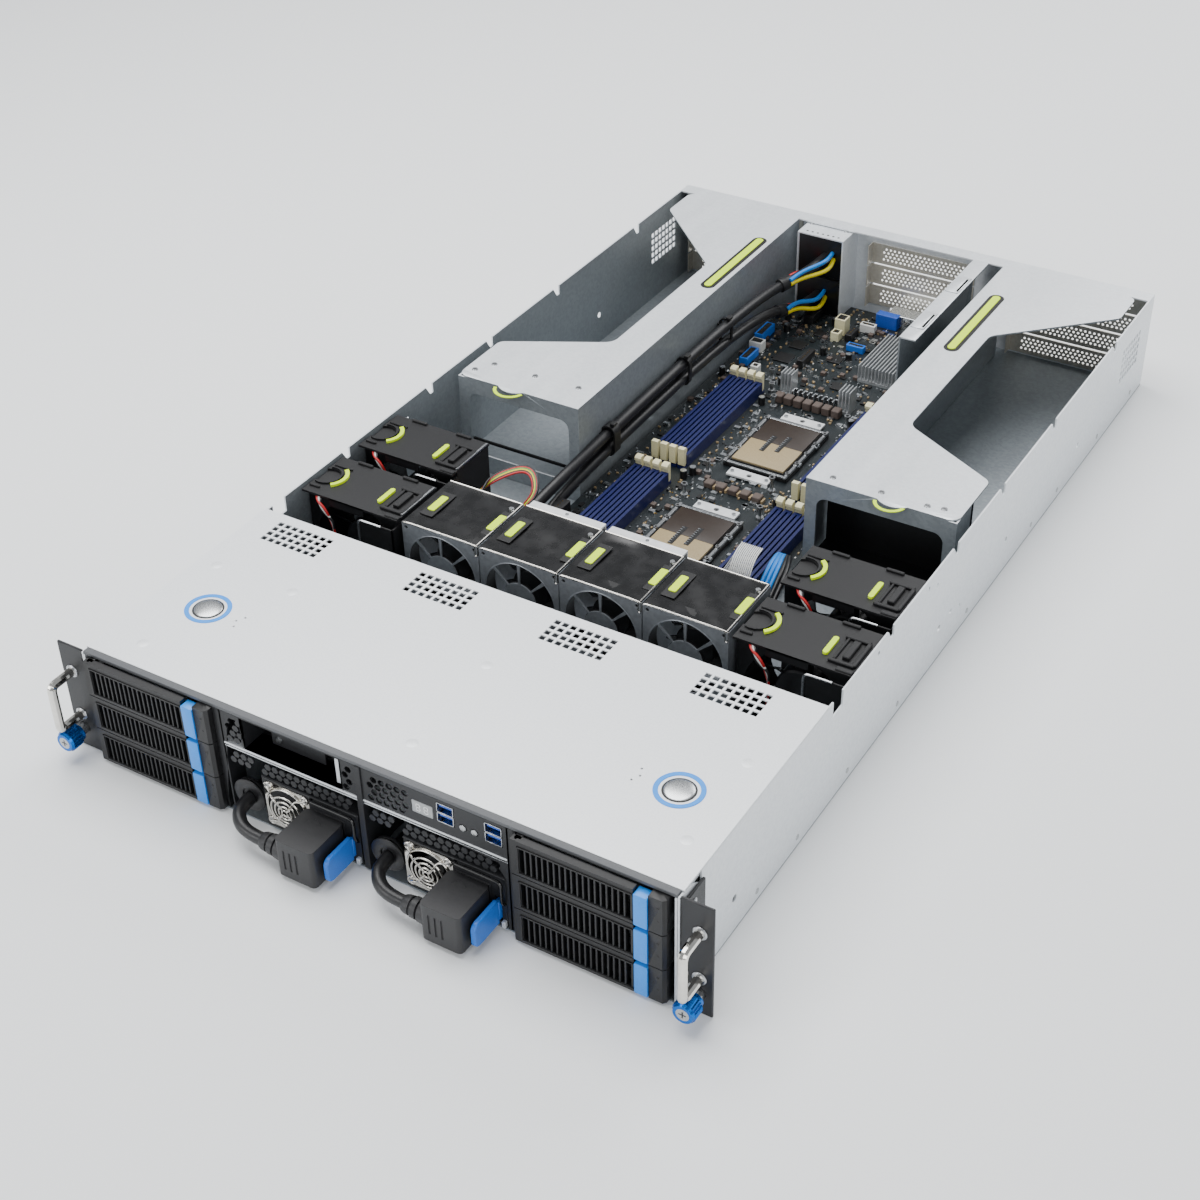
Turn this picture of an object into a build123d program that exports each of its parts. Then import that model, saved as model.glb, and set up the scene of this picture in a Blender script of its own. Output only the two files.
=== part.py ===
from build123d import *
from math import cos, pi, radians, sin, tan
import os

os.makedirs("parts", exist_ok=True)

# A 2U rack server with its rear lid off: six drive trays, two front power supplies, eight fans,
# a two-socket board and three riser cages.
# Millimetres. X runs to the right as seen from the front, Y to the rear, Z up.
# The origin lies on the underside, in the middle of the footprint without the two mains leads.
# A "depth" is a distance behind the front face of the rack ears.

# Driving dimensions of the case
chassis_width = 439.5
chassis_height = 87.0
chassis_length = 800.0
sheet = 1.2
fit_gap = 0.3
slide_gap = 0.2
seat_gap = 0.05
overrun = 5.0
rack_panel_width = 482.6
rack_hole_spacing = 465.1

# Rounds are drawn with flats to keep the faces few
round_sides = 24
small_round_sides = 12

# Release lever of a power supply: it reaches further forward than any other rigid piece
psu_lever_reach = 27.5

half_width = chassis_width / 2
wall_inner_x = half_width - sheet
front_y = -(chassis_length - psu_lever_reach) / 2
wall_top = chassis_height - sheet - slide_gap


def front_plane(depth):
    """A plane facing forwards: local x is X, local y is height."""
    return Plane(origin=(0, front_y + depth, 0), x_dir=(1, 0, 0), z_dir=(0, -1, 0))


def side_plane(x):
    """A plane facing right: local x is depth, local y is height."""
    return Plane(origin=(x, front_y, 0), x_dir=(0, 1, 0), z_dir=(1, 0, 0))


def level_plane(height):
    """A plane facing up: local x is X, local y is depth."""
    return Plane(origin=(0, front_y, height), x_dir=(1, 0, 0), z_dir=(0, 0, 1))


def block(across, depths, heights, mode=Mode.ADD):
    """A box between two values of X, two depths and two heights."""
    middle = (sum(across) / 2, front_y + sum(depths) / 2, sum(heights) / 2)
    with Locations(middle):
        Box(across[1] - across[0], depths[1] - depths[0], heights[1] - heights[0], mode=mode)


def window(across, heights, radius=0):
    """A rectangular opening in the sketch in hand, with round corners if a radius is given."""
    with Locations((sum(across) / 2, sum(heights) / 2)):
        if radius > 0:
            RectangleRounded(across[1] - across[0], heights[1] - heights[0], radius, mode=Mode.SUBTRACT)
        else:
            Rectangle(across[1] - across[0], heights[1] - heights[0], mode=Mode.SUBTRACT)


def save(builder, name):
    """Label a finished piece and write it to its own file."""
    builder.part.label = name
    export_step(builder.part, f"parts/{name}.step")
    print(f"{name}: {len(builder.part.solids())} solids")


# Board and its standoffs
board_left = -97.0
board_right = 90.0
board_front = 300.0
board_rear = 790.0
board_bottom = 8.0
board_thickness = 1.6
standoff_across = 6.0
standoff_columns = 3
standoff_rows = 4
standoff_inset = 14.0
board_top = board_bottom + board_thickness
standoff_step_x = (board_right - board_left - 2 * standoff_inset) / (standoff_columns - 1)
standoff_step_y = (board_rear - board_front - 2 * standoff_inset) / (standoff_rows - 1)

# The rear left corner of the board is cut away for the mains inlets, so it has no standoff
standoff_places = [(board_left + standoff_inset + column * standoff_step_x,
                    board_front + standoff_inset + row * standoff_step_y)
                   for column in range(standoff_columns) for row in range(standoff_rows)
                   if (column, row) != (0, standoff_rows - 1)]

# Floor pan with pressed-in standoffs
with BuildPart() as floor_pan:
    block((-half_width, half_width), (0, chassis_length), (0, sheet))
    with BuildSketch(level_plane(sheet + seat_gap)) as standoffs:
        with Locations(*standoff_places):
            RegularPolygon(standoff_across / 2, 6)
    extrude(standoffs.sketch, amount=board_bottom - sheet - seat_gap)
save(floor_pan, "floor_pan")

# Side walls: lid hooks in the top edge, rail holes, a square-hole vent at the rear
notch_depths = (274.0, 381.0, 465.0, 566.0, 699.0)
notch_width = 9.0
notch_height = 8.0
notch_slant = 5.0
front_hook_depth = 12.0
front_hook_length = 13.0
front_hook_height = 9.0
latch_cut_depth = 193.0
latch_cut_length = 14.0
latch_cut_height = 12.0
rail_hole_depths = (66.0, 366.0, 489.0, 638.0)
rail_hole_height = 28.0
rail_hole_radius = 2.6
vent_depth = 733.0
vent_floor = 38.0
vent_pitch = 11.6
vent_hole = 8.4
vent_columns = 4
vent_rows = 2


def side_wall(inner_x):
    """One side wall, standing on the floor pan, from its left face at inner_x."""
    with BuildPart() as wall:
        with BuildSketch(side_plane(inner_x)):
            with Locations((chassis_length / 2, (sheet + wall_top) / 2)):
                Rectangle(chassis_length, wall_top - sheet)
            for depth in notch_depths:
                with BuildLine():
                    Polyline((depth, wall_top), (depth + notch_slant, wall_top - notch_height),
                             (depth + notch_width, wall_top - notch_height),
                             (depth + notch_width, wall_top), close=True)
                make_face(mode=Mode.SUBTRACT)
            with BuildLine():
                Polyline((front_hook_depth, wall_top), (front_hook_depth + front_hook_length, wall_top),
                         (front_hook_depth + front_hook_length, wall_top - front_hook_height), close=True)
            make_face(mode=Mode.SUBTRACT)
            window((latch_cut_depth, latch_cut_depth + latch_cut_length),
                   (wall_top - latch_cut_height, wall_top + overrun))
            with Locations(*[(depth, rail_hole_height) for depth in rail_hole_depths]):
                Circle(rail_hole_radius, mode=Mode.SUBTRACT)
            with Locations((vent_depth + (vent_columns - 1) * vent_pitch / 2,
                            vent_floor + (vent_rows - 1) * vent_pitch / 2)):
                with GridLocations(vent_pitch, vent_pitch, vent_columns, vent_rows):
                    Rectangle(vent_hole, vent_hole, mode=Mode.SUBTRACT)
        extrude(amount=sheet)
    return wall


save(side_wall(-half_width), "left_wall")
save(side_wall(wall_inner_x), "right_wall")

# Rear panel with its openings and the flange bent in along its top edge
rear_flange_depth = 14.0
slot_pitch = 20.32
slot_cover_height = 18.6
slot_window_inset = 3.0
outer_slot_left = 101.0
outer_slot_right = 214.0
outer_slot_floor = 3.0
outer_slot_count = 4
centre_slot_left = -33.0
centre_slot_right = 64.0
centre_slot_floor = 14.2
centre_slot_count = 3
inlet_left = -86.0
inlet_right = -52.0
inlet_floor = 6.0
inlet_top = 82.0
rear_port_widths = (32.0, 15.0, 15.0)
rear_port_lefts = (-12.0, 26.0, 46.0)
rear_port_floor = board_top + fit_gap
rear_port_height = 3.6


def slot_window(left, right, floor, count):
    """The opening behind one stack of slot covers."""
    window((left + slot_window_inset, right - slot_window_inset),
           (floor + slot_window_inset / 2, floor + count * slot_pitch - slot_window_inset))


with BuildPart() as rear_panel:
    with BuildSketch(front_plane(chassis_length)):
        with Locations((0, (sheet + wall_top) / 2)):
            Rectangle(2 * wall_inner_x, wall_top - sheet)
        slot_window(-outer_slot_right, -outer_slot_left, outer_slot_floor, outer_slot_count)
        slot_window(outer_slot_left, outer_slot_right, outer_slot_floor, outer_slot_count)
        slot_window(centre_slot_left, centre_slot_right, centre_slot_floor, centre_slot_count)
        window((inlet_left, inlet_right), (inlet_floor, inlet_top))
        for left, width in zip(rear_port_lefts, rear_port_widths):
            window((left, left + width), (rear_port_floor, rear_port_floor + rear_port_height))
    extrude(amount=sheet)
    block((-wall_inner_x, wall_inner_x), (chassis_length - rear_flange_depth, chassis_length),
          (wall_top - sheet, wall_top))
save(rear_panel, "rear_panel")

# Slot covers: folded plates behind the windows of the rear panel, each with long vents
cover_plate = 1.0
cover_tab_depth = 8.0
cover_slit_height = 3.2
cover_slit_inset = 7.0
cover_slit_pitch = 8.0
cover_slit_rows = 2
cover_rear = chassis_length - sheet


def slot_covers_in(left, right, floor, count):
    """A stack of slot covers, each a vented plate with a fixing tab folded forwards."""
    slit_length = right - left - 2 * cover_slit_inset
    for index in range(count):
        low = floor + index * slot_pitch
        high = low + slot_cover_height
        with BuildSketch(front_plane(cover_rear)) as plate:
            with Locations(((left + right) / 2, (low + high) / 2)):
                Rectangle(right - left, high - low)
                with GridLocations(0, cover_slit_pitch, 1, cover_slit_rows):
                    Rectangle(slit_length, cover_slit_height, mode=Mode.SUBTRACT)
        extrude(plate.sketch, amount=cover_plate)
        block((left, left + cover_plate), (cover_rear - cover_tab_depth, cover_rear), (low, high))


with BuildPart() as slot_covers:
    slot_covers_in(-outer_slot_right, -outer_slot_left, outer_slot_floor, outer_slot_count)
    slot_covers_in(centre_slot_left, centre_slot_right, centre_slot_floor, centre_slot_count)
    slot_covers_in(outer_slot_left, outer_slot_right, outer_slot_floor, outer_slot_count)
save(slot_covers, "slot_covers")

# Mains inlets: two sockets one above the other in a tall sheet bracket
inlet_body_depth = 32.0
inlet_bracket_side = 5.0
inlet_body_gap = 3.0
inlet_recess = 18.0
inlet_wall = 3.5
inlet_body_inset = 2.0
inlet_front = chassis_length - sheet - inlet_body_depth
with BuildPart() as power_inlets:
    bracket_top = inlet_top + fit_gap
    block((inlet_left - inlet_bracket_side, inlet_left - inlet_bracket_side + sheet),
          (inlet_front, cover_rear), (sheet, bracket_top))
    block((inlet_right + inlet_bracket_side - sheet, inlet_right + inlet_bracket_side),
          (inlet_front, cover_rear), (sheet, bracket_top))
    block((inlet_left - inlet_bracket_side, inlet_right + inlet_bracket_side),
          (inlet_front, cover_rear), (bracket_top, bracket_top + sheet))
    body_height = (inlet_top - inlet_floor - inlet_body_gap) / 2
    for row in range(2):
        low = inlet_floor + row * (body_height + inlet_body_gap)
        block((inlet_left - inlet_bracket_side + sheet, inlet_right + inlet_bracket_side - sheet),
              (inlet_front + inlet_body_inset, cover_rear), (low, low + body_height))
        block((inlet_left + inlet_wall, inlet_right - inlet_wall),
              (cover_rear - inlet_recess, cover_rear + overrun),
              (low + inlet_wall, low + body_height - inlet_wall), mode=Mode.SUBTRACT)
save(power_inlets, "power_inlets")

# Drive stacks: three trays each side, 102 mm wide, in a sheet cage
tray_width = 102.0
tray_inner_x = 112.0
tray_bezel_height = 26.9
tray_pitch = 27.5
tray_floor = 2.2
tray_length = 150.0
tray_rail = 1.4
tray_rail_height = 20.0
tray_rail_inset = 3.0
tray_end_width = 11.0
bezel_reach = 6.0
bezel_back = 6.0
bezel_chamfer = 2.0
cage_sheet = 1.0
cage_side_gap = 0.5
cage_front = 8.0
cage_shelf = 1.0
cage_shelf_width = 6.0
cage_length = 158.0
latch_width = 9.4
latch_stem_width = 5.0
latch_travel = 1.5
latch_back = 1.2
lever_pivot_radius = 1.2
lever_pivot_inset = 3.0
lever_ear_inset = 1.5
lever_skin = 1.0
lever_thickness = 5.0
lever_slot_count = 9
lever_slot_width = 4.6
lever_border = 3.6
lever_rim = 0.8
lever_rim_width = 1.2
lever_end_round = 2.2
lever_pivot_depth = -bezel_reach + lever_thickness / 2
cage_roof = tray_floor + 2 * tray_pitch + tray_rail_inset + tray_rail_height + fit_gap


def stack_left(side):
    """Left end of a drive stack: side is -1 for the left stack and 1 for the right one."""
    return tray_inner_x if side > 0 else -tray_inner_x - tray_width


def drive_cage(side):
    """A cage open at the front: two side sheets with shelves, a roof and a rear sheet."""
    left = stack_left(side) - cage_side_gap - cage_sheet
    right = stack_left(side) + tray_width + cage_side_gap + cage_sheet
    block((left, left + cage_sheet), (cage_front, cage_length), (sheet, cage_roof + cage_sheet))
    block((right - cage_sheet, right), (cage_front, cage_length), (sheet, cage_roof + cage_sheet))
    block((left, right), (cage_front, cage_length), (cage_roof, cage_roof + cage_sheet))
    block((left, right), (cage_length - cage_sheet, cage_length), (sheet, cage_roof + cage_sheet))
    for row in range(3):
        shelf_top = tray_floor + row * tray_pitch + tray_rail_inset - slide_gap
        for edge, way in ((left + cage_sheet, 1), (right - cage_sheet, -1)):
            inner = edge + way * cage_shelf_width
            block((min(edge, inner), max(edge, inner)), (cage_front, cage_length),
                  (shelf_top - cage_shelf, shelf_top))


with BuildPart() as drive_cages:
    for side in (-1, 1):
        drive_cage(side)
save(drive_cages, "drive_cages")


def lever_right(left):
    """Where a tray's grille lever ends and its latch begins."""
    return left + tray_width - tray_end_width - latch_width - fit_gap


def drive_tray(left, low):
    """A tray: two rails, a floor, a rear bar, a cross member and the narrow lamp end."""
    high = low + tray_bezel_height
    rail_low = low + tray_rail_inset
    rail_high = rail_low + tray_rail_height
    rear = bezel_back + tray_length
    with BuildPart() as tray:
        block((left, left + tray_rail), (bezel_back - overrun / 2, rear - bezel_back), (rail_low, rail_high))
        block((left + tray_width - tray_rail, left + tray_width),
              (0, rear - bezel_back), (rail_low, rail_high))
        block((left, left + tray_width), (bezel_back, rear - bezel_back), (rail_low, rail_low + tray_rail))
        block((left, left + tray_width), (rear - bezel_back - tray_rail, rear - bezel_back),
              (rail_low, rail_low + tray_rail_height / 2))
        block((left, left + tray_width), (bezel_back - tray_rail, bezel_back), (rail_low, rail_high))
        block((left + 2 * lever_border, lever_right(left) - lever_border),
              (0, bezel_back + overrun), (rail_low + tray_rail, rail_high - tray_rail), mode=Mode.SUBTRACT)
        with BuildSketch(front_plane(bezel_back)):
            with Locations((left + tray_width - tray_end_width / 2, (low + high) / 2)):
                Rectangle(tray_end_width, tray_bezel_height)
        extrude(amount=bezel_back + bezel_reach)
        front_edges = tray.edges().group_by(Axis.Y)[0]
        chamfer(front_edges.sort_by(Axis.X)[-1], bezel_chamfer)
        for ear_low in (low, high - tray_rail_inset):
            block((left + lever_ear_inset, left + 2 * lever_pivot_inset), (lever_pivot_depth, bezel_back),
                  (ear_low, ear_low + tray_rail_inset))
        pin_place = Plane(origin=(left + lever_pivot_inset, front_y + lever_pivot_depth, low))
        with BuildSketch(pin_place):
            RegularPolygon(lever_pivot_radius - fit_gap / 4, small_round_sides)
        extrude(amount=tray_bezel_height)
    return tray


def tray_lever(left, low):
    """A grille lever, hinged at its left end, with a raised rim round its slots."""
    right = lever_right(left)
    high = low + tray_bezel_height
    inner_low = low + tray_rail_inset + fit_gap / 2
    inner_high = high - tray_rail_inset - fit_gap / 2
    with BuildPart() as lever:
        block((left, right), (-bezel_reach, -bezel_reach + lever_thickness), (low, high))
        chamfer(lever.edges().filter_by(Axis.Z).sort_by(Axis.X)[:2], lever_end_round)
        block((left + lever_rim_width, right), (-bezel_reach - lever_rim, -bezel_reach),
              (low + lever_rim_width, high - lever_rim_width))
        block((left + lever_border - lever_rim_width, right + overrun),
              (-bezel_reach - lever_rim - overrun, -bezel_reach),
              (low + lever_border - lever_rim_width, high - lever_border + lever_rim_width),
              mode=Mode.SUBTRACT)
        slot_left = left + lever_border + lever_pivot_inset
        slot_span = right - lever_border / 2 - slot_left
        with BuildSketch(front_plane(overrun)):
            with Locations((slot_left + slot_span / 2, (low + high) / 2)):
                with GridLocations(slot_span / lever_slot_count, 0, lever_slot_count, 1):
                    Rectangle(lever_slot_width, high - low - 2 * lever_border)
        extrude(amount=2 * overrun + bezel_reach, mode=Mode.SUBTRACT)
        for ear_low, ear_high in ((low - overrun, inner_low), (inner_high, high + overrun)):
            block((left - overrun, left + 2 * lever_pivot_inset + fit_gap),
                  (-bezel_reach + lever_skin, overrun), (ear_low, ear_high), mode=Mode.SUBTRACT)
        pin_place = Plane(origin=(left + lever_pivot_inset, front_y + lever_pivot_depth, low))
        with BuildSketch(pin_place):
            Circle(lever_pivot_radius)
        extrude(amount=tray_bezel_height, mode=Mode.SUBTRACT)
    return lever


def tray_latch(left, low):
    """The blue push latch between a grille lever and the lamp end, with a short stem."""
    latch_left = lever_right(left) + fit_gap
    latch_right = latch_left + latch_width - fit_gap
    high = low + tray_bezel_height
    stem_middle = (latch_left + latch_right) / 2
    with BuildPart() as latch:
        block((latch_left, latch_right), (-bezel_reach - lever_rim, latch_back), (low, high))
        chamfer(latch.faces().sort_by(Axis.Y)[0].edges().filter_by(Axis.X), lever_rim)
        block((stem_middle - latch_stem_width / 2, stem_middle + latch_stem_width / 2),
              (latch_back, bezel_back - tray_rail - latch_travel - fit_gap),
              (low + 2 * lever_border, high - 2 * lever_border))
    return latch


tray_number = 0
for side in (-1, 1):
    for row in range(3):
        tray_number += 1
        tray_left = stack_left(side)
        tray_low = tray_floor + row * tray_pitch
        save(drive_tray(tray_left, tray_low), f"drive_tray_{tray_number}")
        save(tray_lever(tray_left, tray_low), f"tray_lever_{tray_number}")
        save(tray_latch(tray_left, tray_low), f"tray_latch_{tray_number}")

# Rack ears with their pull handles
ear_bottom = 0.6
ear_top = 86.6
ear_thickness = 2.0
ear_corner = 3.0
ear_flange_length = 26.0
ear_flange_bottom = 6.0
handle_reach = 23.0
handle_low = 29.0
handle_high = 65.0
handle_thickness = 6.0
handle_width = 6.5
handle_bend = 11.0
handle_foot = 4.0
screw_height = 17.5
screw_radius = 7.7
screw_head_length = 13.5
screw_shank_radius = 4.0
screw_shank_length = 6.0
screw_thread_radius = 2.4
screw_thread_length = 9.0
screw_bore_clearance = 0.1
ear_outer_x = rack_panel_width / 2
screw_x = rack_hole_spacing / 2


def rack_ear(side):
    """An L-shaped plate screwed to the side wall, carrying a bent chrome handle."""
    inner_x = side * (half_width + slide_gap)
    outer_x = side * ear_outer_x
    with BuildSketch(front_plane(ear_thickness)) as plate:
        with Locations(((inner_x + outer_x) / 2, (ear_bottom + ear_top) / 2)):
            Rectangle(abs(outer_x - inner_x), ear_top - ear_bottom)
        fillet(plate.vertices().sort_by(Axis.X)[-2:] if side > 0 else plate.vertices().sort_by(Axis.X)[:2],
               ear_corner)
        with Locations((side * screw_x, screw_height)):
            Circle(screw_shank_radius + screw_bore_clearance, mode=Mode.SUBTRACT)
    extrude(plate.sketch, amount=ear_thickness)
    flange = (inner_x, inner_x + side * ear_thickness)
    block((min(flange), max(flange)), (0, ear_flange_length), (ear_flange_bottom, ear_top - ear_flange_bottom))


def pull_handle(side):
    """A flat bar bent into a D, standing in front of an ear on two feet."""
    with BuildSketch(side_plane(side * screw_x - handle_width / 2)) as outline:
        with BuildLine():
            FilletPolyline((0, handle_low), (-handle_reach + handle_thickness / 2, handle_low),
                           (-handle_reach + handle_thickness / 2, handle_high), (0, handle_high),
                           radius=handle_bend)
        trace(line_width=handle_thickness)
    extrude(outline.sketch, amount=handle_width)


with BuildPart() as rack_ears:
    for side in (-1, 1):
        rack_ear(side)
        pull_handle(side)
save(rack_ears, "rack_ears")


def thumbscrew(side):
    """A captive thumbscrew: grooved head, shank through the ear and a thread behind it."""
    with BuildPart() as screw:
        with BuildSketch(front_plane(-screw_shank_length)):
            with Locations((side * screw_x, screw_height)):
                RegularPolygon(screw_radius, round_sides)
        extrude(amount=screw_head_length)
        chamfer(screw.faces().sort_by(Axis.Y)[0].edges(), ear_thickness / 2)
        with BuildSketch(front_plane(ear_thickness + slide_gap)):
            with Locations((side * screw_x, screw_height)):
                RegularPolygon(screw_shank_radius, small_round_sides)
        extrude(amount=ear_thickness + slide_gap + screw_shank_length)
        with BuildSketch(front_plane(ear_thickness + slide_gap + screw_thread_length)):
            with Locations((side * screw_x, screw_height)):
                Circle(screw_thread_radius)
        extrude(amount=screw_thread_length)
    return screw


save(thumbscrew(-1), "left_thumbscrew")
save(thumbscrew(1), "right_thumbscrew")

# Front cover: a flat perforated plate with two push buttons
cover_front = 5.0
cover_rear_edge = 187.0
cover_hem_height = 5.0
cover_hem_gap = 0.4
cover_hem_front = 12.0
perforation_left = (-197.6, -76.9, 30.1, 140.9)
perforation_front = 158.0
perforation_pitch_x = 10.4
perforation_pitch_y = 12.6
perforation_hole = 7.4
perforation_columns = 5
perforation_rows = 2
button_x = 177.5
button_depth = 75.0
button_radius = 10.3
button_hole_radius = 10.6
button_ring_radius = 15.8
button_ring_inner = 12.0
button_ring_height = 0.5
button_rise = 1.0
button_flange = 1.6
button_flange_height = 0.9
cover_bottom = chassis_height - sheet

with BuildPart() as front_cover:
    with BuildSketch(level_plane(cover_bottom)):
        with Locations((0, (cover_front + cover_rear_edge) / 2)):
            Rectangle(chassis_width, cover_rear_edge - cover_front)
        with Locations((-button_x, button_depth), (button_x, button_depth)):
            RegularPolygon(button_hole_radius, round_sides, mode=Mode.SUBTRACT)
        for left in perforation_left:
            with Locations((left + perforation_pitch_x * (perforation_columns - 1) / 2,
                            perforation_front + perforation_pitch_y * (perforation_rows - 1) / 2)):
                with GridLocations(perforation_pitch_x, perforation_pitch_y,
                                   perforation_columns, perforation_rows):
                    Rectangle(perforation_hole, perforation_hole, mode=Mode.SUBTRACT)
    extrude(amount=sheet)
    for side in (-1, 1):
        hem_outer = side * (wall_inner_x - cover_hem_gap)
        hem_inner = hem_outer - side * sheet
        block((min(hem_outer, hem_inner), max(hem_outer, hem_inner)),
              (cover_hem_front, cover_rear_edge), (cover_bottom - cover_hem_height, cover_bottom))
    with BuildSketch(level_plane(chassis_height)):
        with Locations((-button_x, button_depth), (button_x, button_depth)):
            RegularPolygon(button_ring_radius, round_sides)
            RegularPolygon(button_ring_inner, round_sides, mode=Mode.SUBTRACT)
    extrude(amount=button_ring_height)
save(front_cover, "front_cover")


def cover_button(side):
    """A low domed push button with a flange that keeps it under the cover."""
    with BuildPart() as button:
        with BuildSketch(level_plane(cover_bottom - slide_gap)):
            with Locations((side * button_x, button_depth)):
                RegularPolygon(button_radius, round_sides)
        extrude(amount=sheet + slide_gap + button_rise)
        chamfer(button.faces().sort_by(Axis.Z)[-1].edges(), button_rise)
        with BuildSketch(level_plane(cover_bottom - slide_gap - button_flange_height)):
            with Locations((side * button_x, button_depth)):
                RegularPolygon(button_radius + button_flange, round_sides)
        extrude(amount=button_flange_height)
    return button


save(cover_button(-1), "left_cover_button")
save(cover_button(1), "right_cover_button")

# Front panel: black plate round the two middle bays, with hexagon vents and a top strip
bay_width = 103.5
divider_width = 4.3
panel_sheet = 1.2
panel_top = 84.6
panel_bottom = 1.4
pillar_depth = 14.0
strip_rear = cover_front - slide_gap
tray_window_inner = tray_inner_x - slide_gap
tray_window_outer = tray_inner_x + tray_width + cage_side_gap + cage_sheet + slide_gap
supply_offset = 27.2
supply_width = 73.5
supply_floor = 2.2
supply_height = 40.0
supply_window_gap = 0.6
ledge_height = 58.4
ledge_depth = 18.0
card_window_start = 16.0
card_window_end = 91.4
card_window_floor = 60.8
card_window_top = 84.0
card_bay_depth = 24.0
card_bracket_height = 10.0
card_bracket_hole = 2.6
card_bracket_holes = 8
display_start = 36.5
display_end = 52.0
display_floor = 66.8
display_top = 76.6
port_starts = (54.7, 88.4)
port_width = 12.4
port_floor = 67.4
port_top = 82.6
port_depth = 16.0
port_wall = 1.2
port_tongue = 2.0
button_starts = (73.0, 81.2)
push_button_height = 70.0
push_button_radius = 2.4
push_button_bore = 2.5
push_button_length = 5.0
push_button_step = 1.0
push_button_rise = 0.8
push_button_flange = 1.2
hex_across = 8.0
hex_pitch = 10.4
hex_columns = 9
hex_rows = 1
hex_side_rows = 1
hex_card_columns = 2
hex_card_rows = 2
hex_row_pitch = hex_pitch * sin(pi / 3)
gland_offset = 14.5
gland_height = 21.0
gland_radius = 10.5
gland_bore_gap = 0.8
lead_diameter = 9.0
bay_lefts = (-divider_width / 2 - bay_width, divider_width / 2)


def hex_field(left, low, columns, rows):
    """Staggered hexagon holes: the first one centred at left and low."""
    centres = [(left + hex_pitch / 2 * (row % 2) + column * hex_pitch, low + row * hex_row_pitch)
               for row in range(rows) for column in range(columns)]
    with Locations(*centres):
        RegularPolygon(hex_across / 2, 6, rotation=30, mode=Mode.SUBTRACT)


with BuildPart() as front_panel:
    with BuildSketch(front_plane(panel_sheet)):
        with Locations((0, (panel_bottom + panel_top) / 2)):
            Rectangle(2 * (wall_inner_x - fit_gap), panel_top - panel_bottom)
        for side in (-1, 1):
            ends = (side * tray_window_inner, side * tray_window_outer)
            window((min(ends), max(ends)), (panel_bottom - overrun, panel_top - fit_gap))
        for bay_left in bay_lefts:
            window((bay_left + supply_offset - supply_window_gap,
                    bay_left + supply_offset + supply_width + supply_window_gap),
                   (panel_bottom - overrun, supply_floor + supply_height + supply_window_gap))
            with Locations((bay_left + gland_offset, gland_height)):
                RegularPolygon(gland_radius, round_sides, mode=Mode.SUBTRACT)
            hex_field(bay_left + hex_pitch / 2 + hex_across / 4, supply_floor + supply_height + hex_across * 3 / 4,
                      hex_columns, hex_rows)
        window((bay_lefts[0] + card_window_start, bay_lefts[0] + card_window_end),
               (card_window_floor, card_window_top))
        hex_field(bay_lefts[0] + hex_across, card_window_floor + hex_across / 2, 1, hex_side_rows)
        hex_field(bay_lefts[0] + card_window_end + hex_across, card_window_floor + hex_across / 2, 1, hex_side_rows)
        hex_field(bay_lefts[1] + hex_across, card_window_floor + hex_across / 2, hex_card_columns, hex_card_rows)
        window((bay_lefts[1] + display_start, bay_lefts[1] + display_end), (display_floor, display_top))
        for start in port_starts:
            window((bay_lefts[1] + start, bay_lefts[1] + start + port_width), (port_floor, port_top))
        with Locations(*[(bay_lefts[1] + start, push_button_height) for start in button_starts]):
            RegularPolygon(push_button_bore, small_round_sides, mode=Mode.SUBTRACT)
    extrude(amount=panel_sheet)
    block((-wall_inner_x + fit_gap, wall_inner_x - fit_gap), (0, strip_rear), (panel_top, chassis_height))
    block((-divider_width / 2, divider_width / 2), (-panel_sheet, pillar_depth), (panel_bottom, panel_top))
    for side in (-1, 1):
        for edge, rear in ((bay_width + divider_width / 2, pillar_depth),
                           (tray_window_inner - panel_sheet, cage_front - slide_gap)):
            ends = (side * edge, side * (edge + panel_sheet))
            block((min(ends), max(ends)), (0, rear), (panel_bottom, panel_top))
    for bay_left in bay_lefts:
        block((bay_left, bay_left + bay_width), (-panel_sheet / 2, ledge_depth),
              (ledge_height, ledge_height + panel_sheet))
    card_left = bay_lefts[0] + card_window_start - panel_sheet
    card_right = bay_lefts[0] + card_window_end + panel_sheet
    for edge in (card_left, card_right - panel_sheet):
        block((edge, edge + panel_sheet), (0, card_bay_depth), (ledge_height, card_window_top))
    block((card_left, card_right), (0, card_bay_depth), (ledge_height, ledge_height + panel_sheet))
    block((card_left, card_right), (card_bay_depth - panel_sheet, card_bay_depth),
          (ledge_height, card_window_top))
save(front_panel, "front_panel")

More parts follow.
